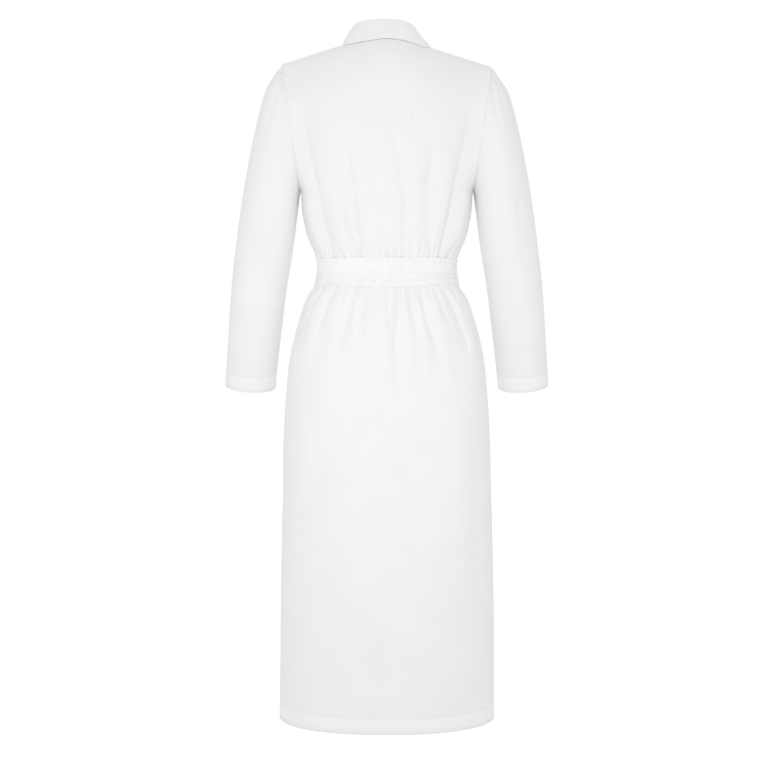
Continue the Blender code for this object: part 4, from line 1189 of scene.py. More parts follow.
def dressed_bodice(points, shares, rows, folds, creases, centre, seed, sizes):
    """The bodice's surface with its folds, creases, gathers and rolled seams."""
    down = -points[..., 2]
    across = points[..., 0]
    fade = smoothstep((1 - np.abs(shares)) / 0.12) * smoothstep((rows - 0.05) / 0.06) * centre
    near_edge = smoothstep((1 - np.abs(shares)) / 0.02) * centre
    to_waist = WAIST_DOWN - rows
    lift = fold_height(folds, across, down) * sizes.fold_strength * beside_band(to_waist)
    into_band = 0.35 + 0.65 * smoothstep(to_waist / 0.010)
    lift += crease_height(creases, across, down, seed) * sizes.crease_strength * into_band
    lift = lift * fade
    first, last = along_rows(points)
    arc = first[-1][None, :]
    gathers = gather_height(arc, to_waist, seed + 50)
    lift += gathers * near_edge * (0.25 + 0.75 * smoothstep((to_waist - 0.001) / 0.006))
    lift += unevenness(across, down, seed + 80) * near_edge * smoothstep((rows - 0.04) / 0.03)
    from_edge = np.where(np.abs(shares) > 0.5, np.minimum(first, last), 1.0)
    lift += np.where(np.abs(shares) > 0.5, rolled(from_edge, ARMHOLE_ROLL), 0)
    lift += np.where(np.abs(shares) > 0.37, rolled(down_columns(points)), 0)
    lift -= BAND_TUCK * smoothstep(1 - to_waist / BAND_TUCK_REACH)
    normal = outward(points)
    dressed = points + normal * lift[..., None]
    dressed[-1] = points[-1] - normal[-1] * FOOT_INSIDE_BAND
    dressed[-1, :, 2] -= FOOT_BEHIND_BAND
    return dressed


def make_bodice(sizes):
    """The back and the two fronts, from the neck and shoulders to the waist."""
    cloth = cloth_material()
    rows = bodice_rows()
    half = bodice_columns(0.0)
    shares = np.concatenate([half[:0:-1], -half])[None, :]
    back = bodice_point(shares, rows, 1.0, "back")
    beside_seam = (rows > UNDERARM_DOWN - 1e-6) & (np.abs(shares) > 0.99)
    back[..., 1] -= np.where(beside_seam, SEAM_OVERLAP, 0)
    back = dressed_bodice(back, shares, rows, BACK_BODICE_FOLDS, BACK_BODICE_CREASES, 1.0, 11, sizes)
    obj = give_wall(cloth_object("bodice_back_cloth", back, cloth), sizes.cloth_thickness)
    finish_cloth(obj, ["bodice_back"])
    for side, sign, start in (("left", 1.0, -FRONT_LAP), ("right", -1.0, FRONT_LAP + GAP)):
        edge = edge_half_width(rows)
        shares = (start + bodice_columns(start)[None, :] * (edge - start)) / edge
        front = bodice_point(shares, rows, sign, "front")
        if sign < 0:
            front, shares = front[:, ::-1], shares[:, ::-1]
        beside_seam = (rows > UNDERARM_DOWN - 1e-6) & (np.abs(shares) > 0.99)
        front[..., 1] += np.where(beside_seam, SEAM_OVERLAP, 0)
        centre = smoothstep((np.abs(front[..., 0]) - PLACKET_HALF) / 0.012)
        front = dressed_bodice(
            front, shares, rows, FRONT_BODICE_FOLDS, FRONT_BODICE_CREASES, centre, 23, sizes
        )
        name = f"bodice_front_{side}"
        obj = give_wall(cloth_object(f"{name}_cloth", front, cloth), sizes.cloth_thickness)
        finish_cloth(obj, [name])


def make_waistband(sizes):
    """The elastic casing: a frill over stitched channels, all of it puckered, open in front."""
    channels = np.array(CHANNELS_DOWN)
    beside = (channels[:, None] + CHANNEL_PINCH_REACH * np.array([-0.8, 0.0, 0.8])).ravel()
    rows = np.concatenate([np.linspace(FRILL_TOP_DOWN, 0.3846, 6), np.linspace(0.3870, 0.4296, 19)])
    rows = np.unique(np.concatenate([rows, beside[beside < 0.4297]]).round(5))[:, None]
    width = read(WAISTBAND, "half_width", rows)
    turns = even_section(
        np.linspace(0, 1, BAND_COLUMNS),
        rows,
        WAISTBAND,
        front_edge_turn(width, -FRONT_LAP),
        -front_edge_turn(width, FRONT_LAP + GAP),
    )
    points = section_point(turns, rows, WAISTBAND)
    arc = along_rows(points)[0]
    beside_placket = smoothstep((np.abs(points[..., 0]) - PLACKET_HALF) / 0.012)
    fade = np.where(points[..., 1] < 0, beside_placket, 1)
    to_channel = np.abs(rows[:, None, 0] - channels[None, :]).min(axis=1)[:, None]
    pinch = np.exp(-((to_channel / CHANNEL_PINCH_REACH) ** 2))
    wander = patch_noise(arc + 3, rows + 3, PUCKER_WANDER_LENGTH, PUCKER_WANDER_LENGTH, sizes.seed)
    phase = arc / PUCKER_SPACING + 0.6 * wander
    size = 0.72 + 0.28 * patch_noise(arc + 3, rows + 3, 0.009, 0.014, sizes.seed + 1)
    lift = sizes.pucker_height * size * np.cos(2 * np.pi * phase) * (1 - 0.5 * pinch) * fade
    lift -= CHANNEL_PINCH * pinch * fade
    lift -= BAND_FOOT_ROLL * smoothstep((rows - 0.4278) / 0.0018)
    frill = smoothstep((CHANNELS_DOWN[0] - rows) / (CHANNELS_DOWN[0] - FRILL_TOP_DOWN))
    ruffle = arc / FRILL_WAVE_SPACING + 0.8 * wave_noise(arc, 0.021, sizes.seed + 2)
    lift += frill * (FRILL_STAND_OFF + FRILL_FLARE + FRILL_WAVE * np.cos(2 * np.pi * ruffle) * fade)
    normal = outward(points)
    points = points + normal * (lift + BAND_STAND_OFF)[..., None]
    points[..., 2] += frill * FRILL_RAGGEDNESS * wave_noise(arc, 0.0030, sizes.seed + 3)
    # Painted light: the whole band's colour is brightened as cloth lying double
    obj = cloth_object("waistband_cloth", points, cloth_material(), painted_light_where_doubled=1.0)
    give_wall(obj, sizes.cloth_thickness)
    normal = outward(points)
    lines = []
    for channel in channels:
        row = int(np.argmin(np.abs(rows[:, 0] - channel)))
        lines.append((points[row] + normal[row] * sizes.thread_width * 0.3, False))
    seams = stitched("waistband_stitches", lines, sizes)
    finish_cloth(
        obj, ["waistband"]
    )


def make_skirt(sizes):
    """The back and the two fronts, gathered into the waistband, with a turned and sewn hem."""
    cloth = cloth_material()
    stitch_down = HEM_DOWN - sizes.hem_depth
    rows = np.concatenate(
        [
            BAND_FOOT_DOWN + np.array([-0.0025, -0.0012, -0.0004, 0.0002, 0.0009, 0.0018]),
            np.linspace(BAND_FOOT_DOWN + 0.003, SKIRT_GATHER_END, SKIRT_ROWS_NEAR_BAND),
            np.linspace(SKIRT_GATHER_END, HEM_DOWN, SKIRT_ROWS_BELOW)[1:],
            stitch_down + np.array([-0.0016, -0.0008, 0.0, 0.0008, 0.0016]),
        ]
    )
    rows = np.unique(rows.round(5))[:, None]
    width, back, seam = (read(SKIRT, name, rows) for name in ("half_width", "back", "seam"))
    seam_turn = np.arccos((seam / back) ** (SQUARENESS / 2))
    gap_turn = -SEAM_OVERLAP / back
    left_end, right_end = (
        front_edge_turn(width, start) for start in (-FRONT_LAP, FRONT_LAP + GAP)
    )
    behind, before = seam_turn - gap_turn, seam_turn + gap_turn
    panels = (
        ("skirt_back", behind, -behind, SKIRT_BACK_COLUMNS, BACK_SKIRT_FOLDS, BACK_SKIRT_CREASES),
        ("skirt_front_left", left_end, before, SKIRT_FRONT_COLUMNS, FRONT_SKIRT_FOLDS, FRONT_SKIRT_CREASES),
        ("skirt_front_right", -before, -right_end, SKIRT_FRONT_COLUMNS, FRONT_SKIRT_FOLDS, FRONT_SKIRT_CREASES),
    )  # fmt: skip
    for seed, (name, first_turn, last_turn, columns, folds, creases) in enumerate(panels):
        spaced = with_fine_ends(columns, 0.012)
        points = section_point(even_section(spaced, rows, SKIRT, first_turn, last_turn), rows, SKIRT)
        down, across = -points[..., 2], points[..., 0]
        first, last = along_rows(points)
        centre = np.where(
            points[..., 1] < 0, smoothstep((np.abs(across) - PLACKET_HALF) / 0.012), 1.0
        )
        is_back = name == "skirt_back"
        to_seam = np.minimum(first, last) if is_back else (last if "left" in name else first)
        fade = smoothstep(to_seam / 0.024) * centre
        near_seam = smoothstep(to_seam / 0.006) * centre
        from_band = down - BAND_FOOT_DOWN
        lift = fold_height(folds, across, down) * sizes.fold_strength * beside_band(from_band)
        sharp = crease_height(creases, across, down, 300 + 20 * seed) * sizes.crease_strength
        lift += sharp * (0.35 + 0.65 * smoothstep(from_band / 0.010))
        lift *= fade
        gathers = gather_height(first[:1], from_band, 400 + 20 * seed)
        lift += gathers * near_seam * smoothstep((from_band + 0.0010) / 0.004)
        lift += unevenness(across, down, 500 + 20 * seed) * near_seam * smoothstep(from_band / 0.02)
        lift += rolled(to_seam)
        lift -= SKIRT_TUCK * (1 - smoothstep((from_band + 0.0022) / SKIRT_TUCK_REACH))
        lift += groove(down - stitch_down) * centre
        below = smoothstep((down - stitch_down) / 0.004)
        lift += below * HEM_PLUMP * centre
        points = points + outward(points) * lift[..., None]
        row = int(np.argmin(np.abs(rows[:, 0] - stitch_down)))
        sewn = points[row] + outward(points)[row] * sizes.thread_width * 0.3
        seam_line = stitched(f"{name}_stitches", [(sewn, False)], sizes)
        hemmed, painted_light_where_doubled = with_turned_hem(points, sizes.hem_depth)
        obj = cloth_object(f"{name}_cloth", hemmed, cloth, painted_light_where_doubled=painted_light_where_doubled)
        give_wall(obj, sizes.cloth_thickness)
        finish_cloth(obj, [name])


def make_sleeves(sizes):
    """Two sleeves, pleated into the armholes, with an underarm seam and a turned, sewn hem."""
    cloth = cloth_material()
    stitch_along = SLEEVE_LENGTH - sizes.sleeve_hem_depth
    rows = np.concatenate(
        [
            [0.0, 0.0005, 0.0010, 0.0016, 0.0024, 0.0034, 0.0048, 0.0066, 0.0090],
            np.linspace(0.0120, 0.1000, SLEEVE_HEAD_STEPS),
            np.linspace(0.1000, SLEEVE_LENGTH, SLEEVE_STEPS)[1:],
            stitch_along + np.array([-0.0016, -0.0008, 0.0, 0.0008, 0.0016]),
        ]
    )
    along = np.unique(rows.round(5))[:, None]
    turns = np.linspace(0, 2 * math.pi, SLEEVE_COLUMNS, endpoint=False)[None, :]
    wrapped = np.degrees((turns + math.pi) % (2 * math.pi) - math.pi)
    for side, sign, creases in (
        ("left", 1.0, LEFT_SLEEVE_BACK_CREASES),
        ("right", -1.0, RIGHT_SLEEVE_BACK_CREASES),
    ):
        points = sleeve_points(turns, along, sign)
        tucked = 1 - smoothstep(along / SLEEVE_TUCK_REACH)
        points[..., 0] += sign * (SLEEVE_SEAM_LIFT - SLEEVE_TUCK * tucked)
        across, down = np.abs(points[..., 0]), -points[..., 2]
        behind = smoothstep(np.sin(turns) * 2.5)
        before = smoothstep(-np.sin(turns) * 2.5)
        seed = 600 if sign > 0 else 700
        lift = crease_height(creases, across, down, seed) * behind
        lift += crease_height(SLEEVE_FRONT_CREASES, across, down, seed + 20) * before
        lift *= sizes.crease_strength * smoothstep(along / 0.006)
        lift += head_pleats(wrapped, along)
        girth = turns * 0.045
        lift += unevenness(girth, along, seed + 40) * smoothstep(along / 0.02) * np.cos(turns / 2) ** 2
        lift -= SLEEVE_TUCK * tucked
        around = np.abs(math.pi - turns) * 0.05
        lift += rolled(around, SEAM_ROLL * 0.8, 0.0035) * smoothstep(along / 0.01)
        lift += groove(along - stitch_along) + HEM_PLUMP * smoothstep((along - stitch_along) / 0.004)
        if sign < 0:
            points, lift = points[:, ::-1], lift[:, ::-1]
        points = points + outward(points, True) * lift[..., None]
        row = int(np.argmin(np.abs(along[:, 0] - stitch_along)))
        sewn = points[row] + outward(points, True)[row] * sizes.thread_width * 0.3
        name = f"sleeve_{side}"
        seam_line = stitched(f"{name}_stitches", [(sewn, True)], sizes)
        hemmed, painted_light_where_doubled = with_turned_hem(points, sizes.sleeve_hem_depth, True)
        obj = cloth_object(f"{name}_cloth", hemmed, cloth, True, painted_light_where_doubled)
        give_wall(obj, sizes.cloth_thickness)
        finish_cloth(obj, [name])


def head_pleats(wrapped, along):
    """The pleats folded into a sleeve's head: each has one steep side."""
    lift = 0.0
    for row in rows_of(HEAD_PLEATS):
        aside = (wrapped - row["turn"]) / row["half_turn"] * np.sign(row["turn"])
        ridge = np.where(aside < 0, np.exp(-((aside / 1.25) ** 2)), np.exp(-((aside / 0.55) ** 2)))
        fade = smoothstep(along / 0.0035) * (1 - smoothstep(along / row["reach"]))
        lift = lift + row["height"] * ridge * fade
    return lift - HEAD_PLEAT_SINK * smoothstep(along / 0.0035) * (1 - smoothstep(along / 0.030))


def keep_off_front(row):
    """Moves points of the fall up and forward until they clear the shoulders and the front."""
    start = row.copy()
    lean = math.sqrt(0.5)
    for _ in range(400):
        behind = row[:, 1] + FALL_CLEARANCE * lean
        wall = front_reach(row[:, 0], -row[:, 2] + FALL_CLEARANCE * lean)
        blocked = (row[:, 1] < -0.001) & (behind >= wall)
        if not blocked.any():
            break
        row[blocked] += np.array([0.0, -lean, lean]) * FALL_STEP
    moved = row - start
    kernel = np.hanning(15) / np.hanning(15).sum()
    padded = np.pad(moved, ((7, 7), (0, 0)), mode="edge")
    row[:] = start + np.stack([np.convolve(padded[:, k], kernel, "valid") for k in range(3)], axis=1)


def smooth_between(guides, steps):
    """Rows on a smooth curve through the guide rows, with so many steps between each two."""
    padded = np.concatenate([2 * guides[:1] - guides[1:2], guides, 2 * guides[-1:] - guides[-2:-1]])
    rows = []
    for i in range(len(guides) - 1):
        p, q, r, s = padded[i : i + 4]
        for t in np.arange(steps) / steps:
            rows.append(
                0.5
                * (
                    2 * q
                    + (r - p) * t
                    + (2 * p - 5 * q + 4 * r - s) * t**2
                    + (3 * q - p - 3 * r + s) * t**3
                )
            )
    rows.append(guides[-1])
    return np.stack(rows)


def collar_guides():
    """The collar's guide rows, from the neck seam over the fold to the fall's edge."""
    turn = np.linspace(COLLAR_END, -COLLAR_END, COLLAR_COLUMNS + 1)
    cosine = np.cos(turn)
    neck_across = NECK_HALF * np.abs(np.sin(turn))
    seam_down = np.where(cosine >= 0, top_down(neck_across, "back"), top_down(neck_across, "front"))
    seam = ring_point(turn, NECK_HALF - STAND_SEAM_LIFT, NECK_REACH, seam_down - STAND_SEAM_LIFT)
    seam[:, 1] *= 1 - STAND_SEAM_LIFT / NECK_REACH["back"]
    drop = FOLD_FRONT_DROP * ((1 - cosine) / 2) ** FOLD_DROP_POWER
    fold = ring_point(turn, FOLD_HALF, FOLD_REACH, FOLD_BACK_DOWN + drop)
    size = np.degrees(np.abs(turn))
    across = read(FALL_EDGE, "across", size) * np.sign(turn)
    edge = np.stack([across, read(FALL_EDGE, "back", size), -read(FALL_EDGE, "down", size)], axis=-1)
    behind = 1 - smoothstep((size - 55) / 25)
    lying = back_reach(edge[:, 0], -edge[:, 2]) + COLLAR_BACK_CLEARANCE
    edge[:, 1] += (lying - edge[:, 1]) * behind
    before = COLLAR_FRONT_LIE * smoothstep((size - 95) / 25)
    lying = front_reach(edge[:, 0], -edge[:, 2]) - FALL_CLEARANCE
    edge[:, 1] += np.maximum(lying - edge[:, 1], 0) * before
    out = np.stack([np.sin(turn), cosine, np.zeros_like(turn)], axis=-1)
    up = np.array([0.0, 0.0, 1.0])
    rise = FOLD_OPENING / 2
    fall_top = fold + out * rise - up * rise * 1.6
    guides = [
        seam,
        (seam + fold) / 2,
        fold - out * rise - up * rise * 1.6,
        fold.copy(),
        fall_top,
        (fall_top + edge) / 2 + out * FALL_BOW,
        fall_top * 0.2 + edge * 0.8 + out * FALL_BOW * 0.6,
        edge,
    ]
    for row in guides[5:]:
        keep_off_front(row)
    return np.stack(guides)


def make_collar(sizes):
    """The stand, the fold and the fall as one wall, with two rows of topstitching."""
    points = smooth_between(collar_guides(), COLLAR_ROWS_PER_GUIDE)[::-1, ::-1]
    from_edge = down_columns(points)
    first, last = along_rows(points)
    from_front = np.minimum(first, last)
    inset = np.minimum(from_edge, from_front)
    lift = sum(groove(inset - at) for at in COLLAR_STITCH_INSETS)
    fold_row = COLLAR_ROWS_PER_GUIDE * 4
    on_fall = (np.arange(len(points)) <= fold_row)[:, None]
    lift = np.where(on_fall, lift, 0)
    lift += 0.00035 * patch_noise(first + 3, from_edge + 3, 0.030, 0.018, sizes.seed + 9)
    normal = outward(points)
    points = points + normal * lift[..., None]
    normal = outward(points)
    raised = points + normal * (COLLAR_THICKNESS / 2 + sizes.thread_width * 0.3)
    lines = []
    for at in COLLAR_STITCH_INSETS:
        edge_line = line_across(raised, from_edge, at)
        inner = np.nonzero((first[0] >= at) & (last[0] >= at))[0]
        ends = []
        for distance in (first, last):
            order = 1 if distance is first else -1
            column = [
                [np.interp(at, distance[r, ::order], raised[r, ::order, k]) for k in range(3)]
                for r in range(fold_row)
                if from_edge[r].mean() > at
            ]
            ends.append(np.array(column))
        lines.append((np.concatenate([ends[0][::-1], edge_line[inner], ends[1]]), False))
    obj = cloth_object("collar_cloth", points, cloth_material())
    give_wall(obj, COLLAR_THICKNESS, 0.0)
    seams = stitched("collar_stitches", lines, sizes)
    finish_cloth(obj, ["collar"])


def make_placket(sizes):
    """The band over the centre-front join, from its neck end to the hem, sewn along both sides."""
    rows = np.arange(PLACKET_TOP_DOWN, HEM_DOWN, PLACKET_STEP)
    rows = np.append(rows, HEM_DOWN)[:, None]
    across = PLACKET_HALF * (1 - 2 * with_fine_ends(PLACKET_COLUMNS, 0.09))[None, ::-1]
    reach = front_reach(across, rows)
    x = np.broadcast_to(across, reach.shape)
    points = np.stack([x, reach, np.broadcast_to(-rows, reach.shape)], axis=-1)
    to_side = PLACKET_HALF - np.abs(x)
    to_top = rows - PLACKET_TOP_DOWN
    inset = np.minimum(to_side, to_top)
    lift = PLACKET_GAP + PLACKET_WALL + rolled(inset, 0.0005, 0.0012)
    lift = lift + groove(inset - PLACKET_STITCH_INSET)
    lift += 0.00025 * patch_noise(x + 3, rows + 3, 0.020, 0.045, sizes.seed + 12)
    points = points + outward(points) * lift[..., None]
    normal = outward(points)
    raised = points + normal * sizes.thread_width * 0.3
    sides = []
    for sign in (1, -1):
        order = np.argsort(x[0])
        side = [
            [np.interp(sign * (PLACKET_HALF - PLACKET_STITCH_INSET), x[0][order], row[order, k]) for k in range(3)]
            for row in raised
        ]  # fmt: skip
        sides.append((np.array(side)[1:], False))
    # Painted light: the whole placket's colour is brightened as cloth lying double
    obj = cloth_object("placket_cloth", points, cloth_material(), painted_light_where_doubled=1.0)
    give_wall(obj, PLACKET_WALL * 0.85)
    seams = stitched("placket_stitches", sides, sizes)
    finish_cloth(obj, ["placket"])


def lathed(name, profile, sides):
    """A closed mesh turned from a profile of (radius, height) pairs that ends on the axis."""
    mesh = bpy.data.meshes.new(name)
    model = bmesh.new()
    rings = []
    for radius, height in profile[1:-1]:
        rings.append(
            [
                model.verts.new(
                    (
                        radius * math.cos(2 * math.pi * i / sides),
                        radius * math.sin(2 * math.pi * i / sides),
                        height,
                    )
                )
                for i in range(sides)
            ]
        )
    low, high = (model.verts.new((0, 0, profile[i][1])) for i in (0, -1))
    for i in range(sides):
        j = (i + 1) % sides
        model.faces.new((low, rings[0][j], rings[0][i]))
        model.faces.new((high, rings[-1][i], rings[-1][j]))
        for a, b in zip(rings, rings[1:]):
            model.faces.new((a[i], a[j], b[j], b[i]))
    model.to_mesh(mesh)
    model.free()
    return mesh


def swept(name, paths, radius, sides, flat=1.0):
    """Round or flattened tubes along paths, each an array of points and whether it closes."""
    mesh = bpy.data.meshes.new(name)
    model = bmesh.new()
    up = np.array([0.0, 0.0, 1.0])
    for path, closed in paths:
        rings = []
        for i, point in enumerate(path):
            after = path[(i + 1) % len(path)] if closed or i + 1 < len(path) else path[i]
            before = path[i - 1] if closed or i > 0 else path[i]
            ahead = (after - before) / np.linalg.norm(after - before)
            aside = np.cross(ahead, up)
            aside /= max(np.linalg.norm(aside), 1e-9)
            over = np.cross(aside, ahead)
            rings.append(
                [
                    model.verts.new(
                        point
                        + radius * math.cos(2 * math.pi * k / sides) * aside
                        + radius * flat * math.sin(2 * math.pi * k / sides) * over
                    )
                    for k in range(sides)
                ]
            )
        pairs = list(zip(rings, rings[1:]))
        if closed:
            pairs.append((rings[-1], rings[0]))
        else:
            model.faces.new(rings[0][::-1])
            model.faces.new(rings[-1])
        for a, b in pairs:
            for k in range(sides):
                m = (k + 1) % sides
                model.faces.new((a[k], a[m], b[m], b[k]))
    bmesh.ops.recalc_face_normals(model, faces=model.faces)
    model.to_mesh(mesh)
    model.free()
    return mesh


def pierced_button():
    """A dished button with four holes, about its own middle and facing its own +Z."""
    button = bpy.data.objects.new("button", lathed("button", BUTTON_PROFILE, 40))
    bpy.context.scene.collection.objects.link(button)
    holes = bpy.data.meshes.new("button holes")
    model = bmesh.new()
    for x, y in ((1, 1), (1, -1), (-1, 1), (-1, -1)):
        made = bmesh.ops.create_cone(
            model,
            cap_ends=True,
            segments=12,
            radius1=BUTTON_HOLE_RADIUS,
            radius2=BUTTON_HOLE_RADIUS,
            depth=0.01,
        )
        move = (x * BUTTON_HOLE_OFFSET, y * BUTTON_HOLE_OFFSET, 0)
        bmesh.ops.translate(model, verts=made["verts"], vec=move)
    model.to_mesh(holes)
    model.free()
    cutter = bpy.data.objects.new("button holes", holes)
    bpy.context.scene.collection.objects.link(cutter)
    cut = button.modifiers.new("holes", "BOOLEAN")
    cut.operation = "DIFFERENCE"
    cut.solver = "EXACT"
    cut.object = cutter
    depsgraph = bpy.context.evaluated_depsgraph_get()
    mesh = bpy.data.meshes.new_from_object(button.evaluated_get(depsgraph))
    mesh.shade_smooth()
    mesh.set_sharp_from_angle(angle=math.radians(38))
    for obj in (button, cutter):
        bpy.data.objects.remove(obj, do_unlink=True)
    return mesh


def sewn_cross():
    """The thread over a button: two bars of three strands between its four holes."""
    paths = []
    for y in (-1, 1):
        for strand in (-1, 0, 1):
            aside = y * BUTTON_HOLE_OFFSET + strand * 0.00026
            reach = BUTTON_HOLE_OFFSET
            top = BUTTON_DISH + 0.00042 - abs(strand) * 0.00010
            paths.append(
                (
                    np.array(
                        [
                            (-reach, aside, BUTTON_DISH - 0.0007),
                            (-reach * 0.92, aside, top - 0.00018),
                            (-reach * 0.55, aside, top),
                            (0.0, aside, top + 0.00006),
                            (reach * 0.55, aside, top),
                            (reach * 0.92, aside, top - 0.00018),
                            (reach, aside, BUTTON_DISH - 0.0007),
                        ]
                    ),
                    False,
                )
            )
    return swept("button thread", paths, 0.00020, 6)


def sewn_hole():
    """A buttonhole's sewn rim, upright and round-ended, on the cloth below the button."""
    half = BUTTONHOLE_HALF_LENGTH - BUTTONHOLE_HALF_WIDTH
    turns = np.linspace(0, math.pi, 9)
    ring = np.concatenate(
        [
            [(BUTTONHOLE_HALF_WIDTH * math.cos(t), half + BUTTONHOLE_HALF_WIDTH * math.sin(t), 0) for t in turns],
            [(-BUTTONHOLE_HALF_WIDTH * math.cos(t), -half - BUTTONHOLE_HALF_WIDTH * math.sin(t), 0) for t in turns],
        ]
    )  # fmt: skip
    ring[:, 2] = -(GAP + BUTTON_THICKNESS / 2) + 0.00005
    return swept("buttonhole rim", [(ring, True)], 0.00055, 6, flat=0.42)


def button_places():
    """The buttons' middles and leans on the placket, as the solids have them."""
    places = []
    for i in range(BUTTON_COUNT):
        down = BUTTON_FIRST_DOWN + i * BUTTON_PITCH
        offsets = BUTTON_RADIUS * np.linspace(-1, 1, 5)
        reach = front_reach(0.0, down + offsets)
        slope = (reach[-1] - reach[0]) / (offsets[-1] - offsets[0])
        middle = (reach - slope * offsets).min()
        lean = math.atan(slope)
        stand_off = PLACKET_GAP + PLACKET_WALL + GAP + BUTTON_THICKNESS / 2
        places.append(
            (0.0, middle - stand_off * math.cos(lean), -down - stand_off * math.sin(lean), lean)
        )
    return np.array(places)


def make_buttons(sizes):
    """Eleven pierced buttons, the thread that holds each and the sewn hole under it."""
    places = button_places()
    tree = repeat_tree()
    thread = thread_material()
    parts = (
        ("buttons", pierced_button(), button_material()),
        ("button_threads", sewn_cross(), thread),
        ("buttonholes", sewn_hole(), thread),
    )
    for name, mesh, material in parts:
        master = link_mesh(name + "_master", mesh, material)
        if name == "buttons":
            mesh.set_sharp_from_angle(angle=math.radians(38))
        spots = bpy.data.meshes.new(name + "_places")
        spots.from_pydata(places[:, :3].tolist(), [], [])
        spots.attributes.new("lean", "FLOAT", "POINT").data.foreach_set(
            "value", places[:, 3].astype(np.float32)
        )
        source = bpy.data.objects.new(name + "_places", spots)
        bpy.context.scene.collection.objects.link(source)
        obj = grown(name, source, tree, {"Copied": master, "Finish": material}, material)
        bpy.data.objects.remove(master, do_unlink=True)
        if name == "buttons":
            obj.data.set_sharp_from_angle(angle=math.radians(38))
            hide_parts(*(f"button_{i + 1:02d}" for i in range(BUTTON_COUNT)))
        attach(obj, "root")


# The studio


def make_stage(colours):
    """A pale floor well below the hem, soft lights, a white surround and the camera."""
    floor = bpy.data.meshes.new("floor")
    s = FLOOR_HALF
    floor.from_pydata(
        [(-s, -s, -FLOOR_DOWN), (s, -s, -FLOOR_DOWN), (s, s, -FLOOR_DOWN), (-s, s, -FLOOR_DOWN)],
        [],
        [(0, 1, 2, 3)],
    )
    material, tree, shader = shader_of("pale floor")
    place = node(tree, "ShaderNodeTexCoord").outputs["Object"]
    grain = node(tree, "ShaderNodeTexNoise", Vector=place, Scale=3.0, Detail=4.0)
    tint = node(tree, "ShaderNodeValToRGB", Fac=grain.outputs["Fac"])
    tint.color_ramp.elements[0].color = (*(np.array(colours.floor) * 0.98), 1.0)
    tint.color_ramp.elements[1].color = (*colours.floor, 1.0)
    tree.links.new(tint.outputs[0], shader.inputs["Base Color"])
    shader.inputs["Roughness"].default_value = 0.9
    shader.inputs["Emission Color"].default_value = (1, 1, 1, 1)
    shader.inputs["Emission Strength"].default_value = FLOOR_GLOW
    ground = link_mesh("floor", floor, material)
    ground.visible_diffuse = False
    ground.visible_glossy = False
    world = bpy.data.worlds.new("white studio")
    world.use_nodes = True
    bpy.context.scene.world = world
    tree = world.node_tree
    background = tree.nodes["Background"]
    background.inputs["Color"].default_value = (1.0, 1.0, 1.0, 1.0)
    background.inputs["Strength"].default_value = WORLD_LIGHT
    shown = node(tree, "ShaderNodeBackground", Color=(1, 1, 1, 1), Strength=1.0)
    seen = node(tree, "ShaderNodeLightPath")
    mixed = node(tree, "ShaderNodeMixShader")
    tree.links.new(seen.outputs["Is Camera Ray"], mixed.inputs[0])
    tree.links.new(background.outputs[0], mixed.inputs[1])
    tree.links.new(shown.outputs[0], mixed.inputs[2])
    tree.links.new(mixed.outputs[0], tree.nodes["World Output"].inputs["Surface"])
    for row in rows_of(LIGHTS):
        lamp = bpy.data.lights.new("softbox", "AREA")
        lamp.shape = "DISK"
        lamp.size = row["size"]
        lamp.energy = row["power"]
        obj = bpy.data.objects.new("softbox", lamp)
        obj.location = (row["x"], row["y"], row["z"])
        aim = Vector((0.0, 0.0, row["aim_z"])) - obj.location
        obj.rotation_euler = aim.to_track_quat("-Z", "Y").to_euler()
        bpy.context.scene.collection.objects.link(obj)
    lens = bpy.data.cameras.new("camera")
    lens.sensor_width = 36.0
    lens.lens = lens.sensor_width / 2 / math.tan(CAMERA_ANGLE / 2)
    camera = bpy.data.objects.new("camera", lens)
    camera.location = CAMERA_AT
    camera.rotation_euler = (math.pi / 2, 0.0, math.pi)
    bpy.context.scene.collection.objects.link(camera)
    bpy.context.scene.camera = camera
    bpy.context.scene.view_settings.view_transform = "Standard"


# Settings and operators


